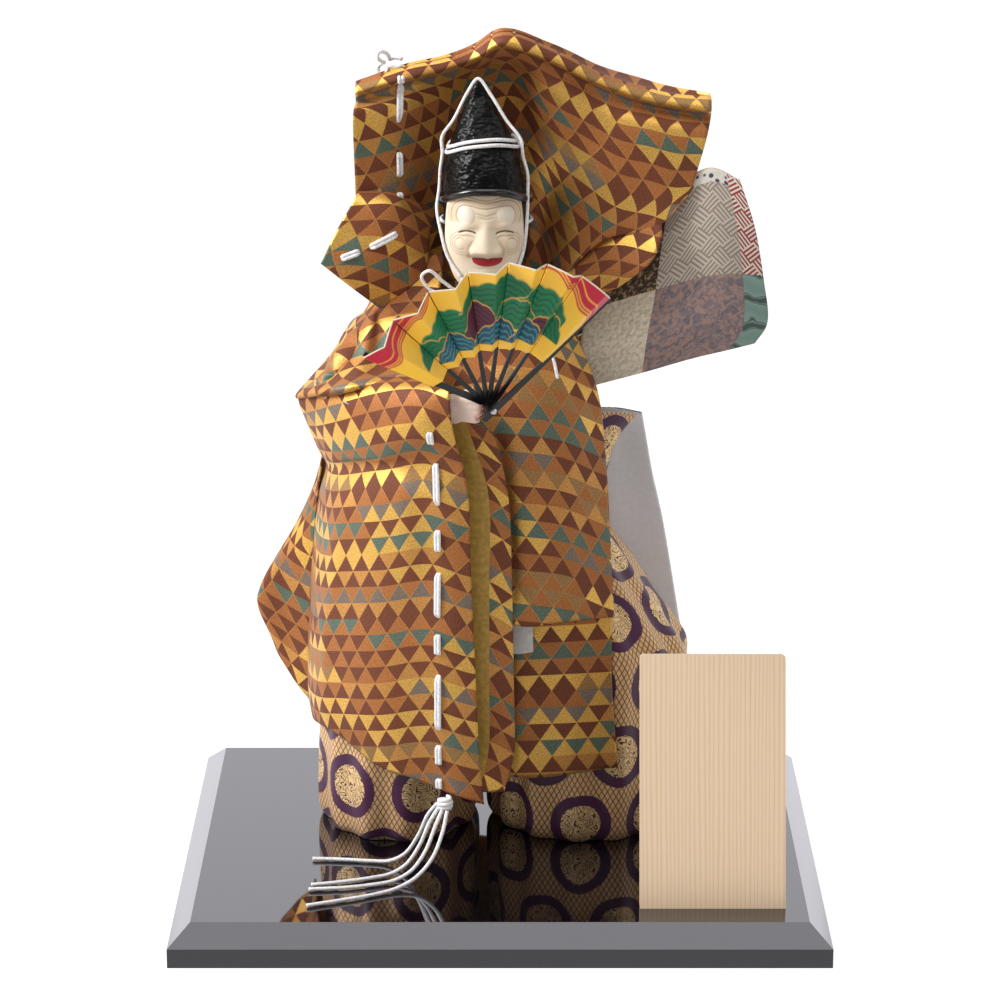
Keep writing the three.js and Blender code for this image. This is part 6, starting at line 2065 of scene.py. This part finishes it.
@dataclass
class Fan:
    """Folding fan: lacquered ribs, silver rivet and a pleated leaf."""

    # Rivet's place, outer and inner radius of the leaf
    pivot: Place = (-6.0, -101.0, 250.0)
    radius: float = 80.0
    inner: float = 34.0
    # In degrees: angle between the guards, turn about the right guard, its rise, and lean to the viewer
    open_deg: float = 108.5
    tilt: float = 41.4
    roll: float = 44.0
    view: float = 15.0
    # Count of ribs with the guards, their thickness and spacing, and further spacing of the right guard
    ribs: int = 8
    thickness: float = 0.7
    pitch: float = 1.0
    step: float = 2.0
    # Height of a fold, thickness of the leaf, its gap to the ribs and reach past the left and right guard
    pleat: float = 8.5
    paper: float = 0.3
    gap: float = 0.3
    overhang: Pair = (2.2, 3.4)
    # Place in degrees, half width, top, foot, colour and line colour of painted hills, mounds and waves
    hills: Sequence[tuple] = (
        (-22, 18, 67, 48, *BRIGHT_HILL), (3, 19, 75, 50, *DEEP_HILL), (26, 17, 69, 50, *BRIGHT_HILL),
        (-35, 12, 58, 45, *DEEP_HILL), (14, 13, 62, 46, *BRIGHT_HILL), (37, 11, 57, 45, *DEEP_HILL),
        (-7, 9, 63, 42, *MOUND), (30, 6, 55, 42, *MOUND),
        (-25, 14, 52, 39, *WAVE), (4, 15, 51, 38, *WAVE), (25, 12, 50, 39, *WAVE),
    )

    def axes(self) -> Array:
        """Gives the fan's axes as rows."""
        view, roll, tilt = (math.radians(angle) for angle in (self.view, self.roll, self.tilt))
        viewer = np.array([0, -math.cos(view), math.sin(view)])
        up = np.array([0, math.sin(view), math.cos(view)])
        along = np.array([math.cos(roll), 0, 0]) + math.sin(roll) * up
        aside = np.array([-math.sin(roll), 0, 0]) + math.cos(roll) * up
        out = viewer * math.cos(tilt) - aside * math.sin(tilt)
        return np.stack([along, np.cross(out, along), out])

    def placed(self, local: Array) -> Array:
        """Moves points from the fan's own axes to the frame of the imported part."""
        return local @ self.axes() + np.array(self.pivot) + FIGURE_ORIGIN

    def angle(self, rib: float) -> float:
        """Gives the angle of a rib in radians."""
        return math.radians(self.open_deg * (1 - rib / (self.ribs - 1)))

    def level(self, rib: int) -> float:
        """Gives the height of a rib in the stack."""
        last = self.ribs - 1
        return (rib - last / 2) * self.pitch + (self.step if rib == last else 0.0)

    def picture(self, turn: Array, radius: Array) -> Array:
        """Paints the leaf: green hills, mounds and waves, and red clouds with gold outlines at the corners.

        Args:
            turn: angles to the right of the leaf's middle, in degrees.
            radius: distances from the rivet.

        Returns:
            Linear colours.
        """
        paint = np.tile(np.array(linear("fcc63e")), (*turn.shape, 1))

        def lay(code: str, amount: Array) -> None:
            """Lays a colour over the picture."""
            paint[...] += (np.array(linear(code)) - paint) * clamp(amount)[..., None]

        arc = np.radians(turn) * self.radius
        soft = 0.5
        for middle, width, top, foot, body, line in self.hills:
            off = (turn - middle) / width
            depth = top - 11 * off ** 2 + 1.2 * np.abs(np.sin(arc * 0.42 + middle)) - radius
            inside = (np.abs(off) < 1.05) * clamp((radius - foot) / soft)
            lay("e0ab45", inside * depth / soft)
            lay(body, inside * (depth - 0.8) / soft)
            lay(line, 0.7 * inside * (depth > 1.6) * (np.sin(2.0 * depth + 1.5 * np.sin(arc * 0.5)) > 0.5))
        haze = self.radius - 19 * clamp((np.abs(turn) - 17) / 37) ** 1.2 + 1.4 * np.sin(arc * 0.38)
        lay("c4203a", (np.abs(turn) > 17) * (radius - haze) / soft)
        for depth in (1.6, 3.2, 7.5):
            lay("f3bb45", (np.abs(turn) > 17) * bump(radius, haze + depth, 0.42))
        lay("e9ddc4", (radius - self.radius + 0.8) / 0.3)
        return paint

    def fold(self, rib: int) -> Object:
        """Makes the fold of the leaf between a rib and the next one.

        Args:
            rib: number of the rib before the fold.

        Returns:
            The fold.
        """
        last = self.ribs - 1
        edge = self.gap / self.inner * 0.5
        start, end = self.angle(rib) - edge, self.angle(rib + 1) + edge
        low = self.level(rib) + self.thickness + self.gap
        high = low if rib + 1 == last else self.level(rib + 1) + self.thickness + self.gap
        shares = np.linspace(0, 1, 49)
        radii = np.linspace(self.radius, self.inner, 100)
        share, radius = np.meshgrid(shares, radii)
        first = self.overhang[0] / radius if rib == 0 else 0.0
        beyond = self.overhang[1] / radius if rib + 1 == last else 0.0
        angle = start + first + (end - beyond - start - first) * share
        crest = self.pleat * (1 - np.abs(2 * share - 1)) * radius / self.radius
        level = low + (high - low) * share + crest + 0.2
        local = np.stack([radius * np.cos(angle), radius * np.sin(angle), level], axis=-1)
        grid = self.placed(local)
        turn = self.open_deg / 2 - np.degrees(angle)
        rows, columns = share.shape
        piece = new_object(
            f"leaf_fold_{rib + 1}", (grid * MM).reshape(-1, 3), grid_faces(rows, columns), [Look.FAN_PAPER],
            paint=self.picture(turn, radius).reshape(-1, 4),
        )
        skin = piece.modifiers.new("thickness", "SOLIDIFY")
        skin.thickness = self.paper * MM
        skin.offset = 0.0
        return piece

    def build(self) -> None:
        """Makes the fan."""
        nodes = ["fan_guard_left", *(f"fan_rib_{rib}" for rib in range(1, self.ribs - 1)), "fan_guard_right"]
        for node in nodes:
            soften(node, 0.18, 2)
        dress(Look.FAN_RIB, *nodes)
        soften("fan_rivet", 0.15, 2)
        dress(Look.SILVER, "fan_rivet")
        for rib in range(self.ribs - 1):
            piece = self.fold(rib)
            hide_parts(f"fan_leaf_{rib + 1}")
            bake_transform(piece)


def main() -> None:
    """Makes the stage and every sub-assembly in order."""
    logging.basicConfig(level=logging.INFO, format="%(message)s")
    head = Head()
    Stage().build()
    Tassel().build()
    head.chin_cords()
    robes = (Hakama(), InnerRobe(), OuterRobe(), RightSleeve(), RaisedSleeve())
    for part in (Plinth(), *robes, head, Hands(), Fan()):
        part.build()
        LOG.info("%s done", type(part).__name__)


if __name__ == "__main__":
    main()
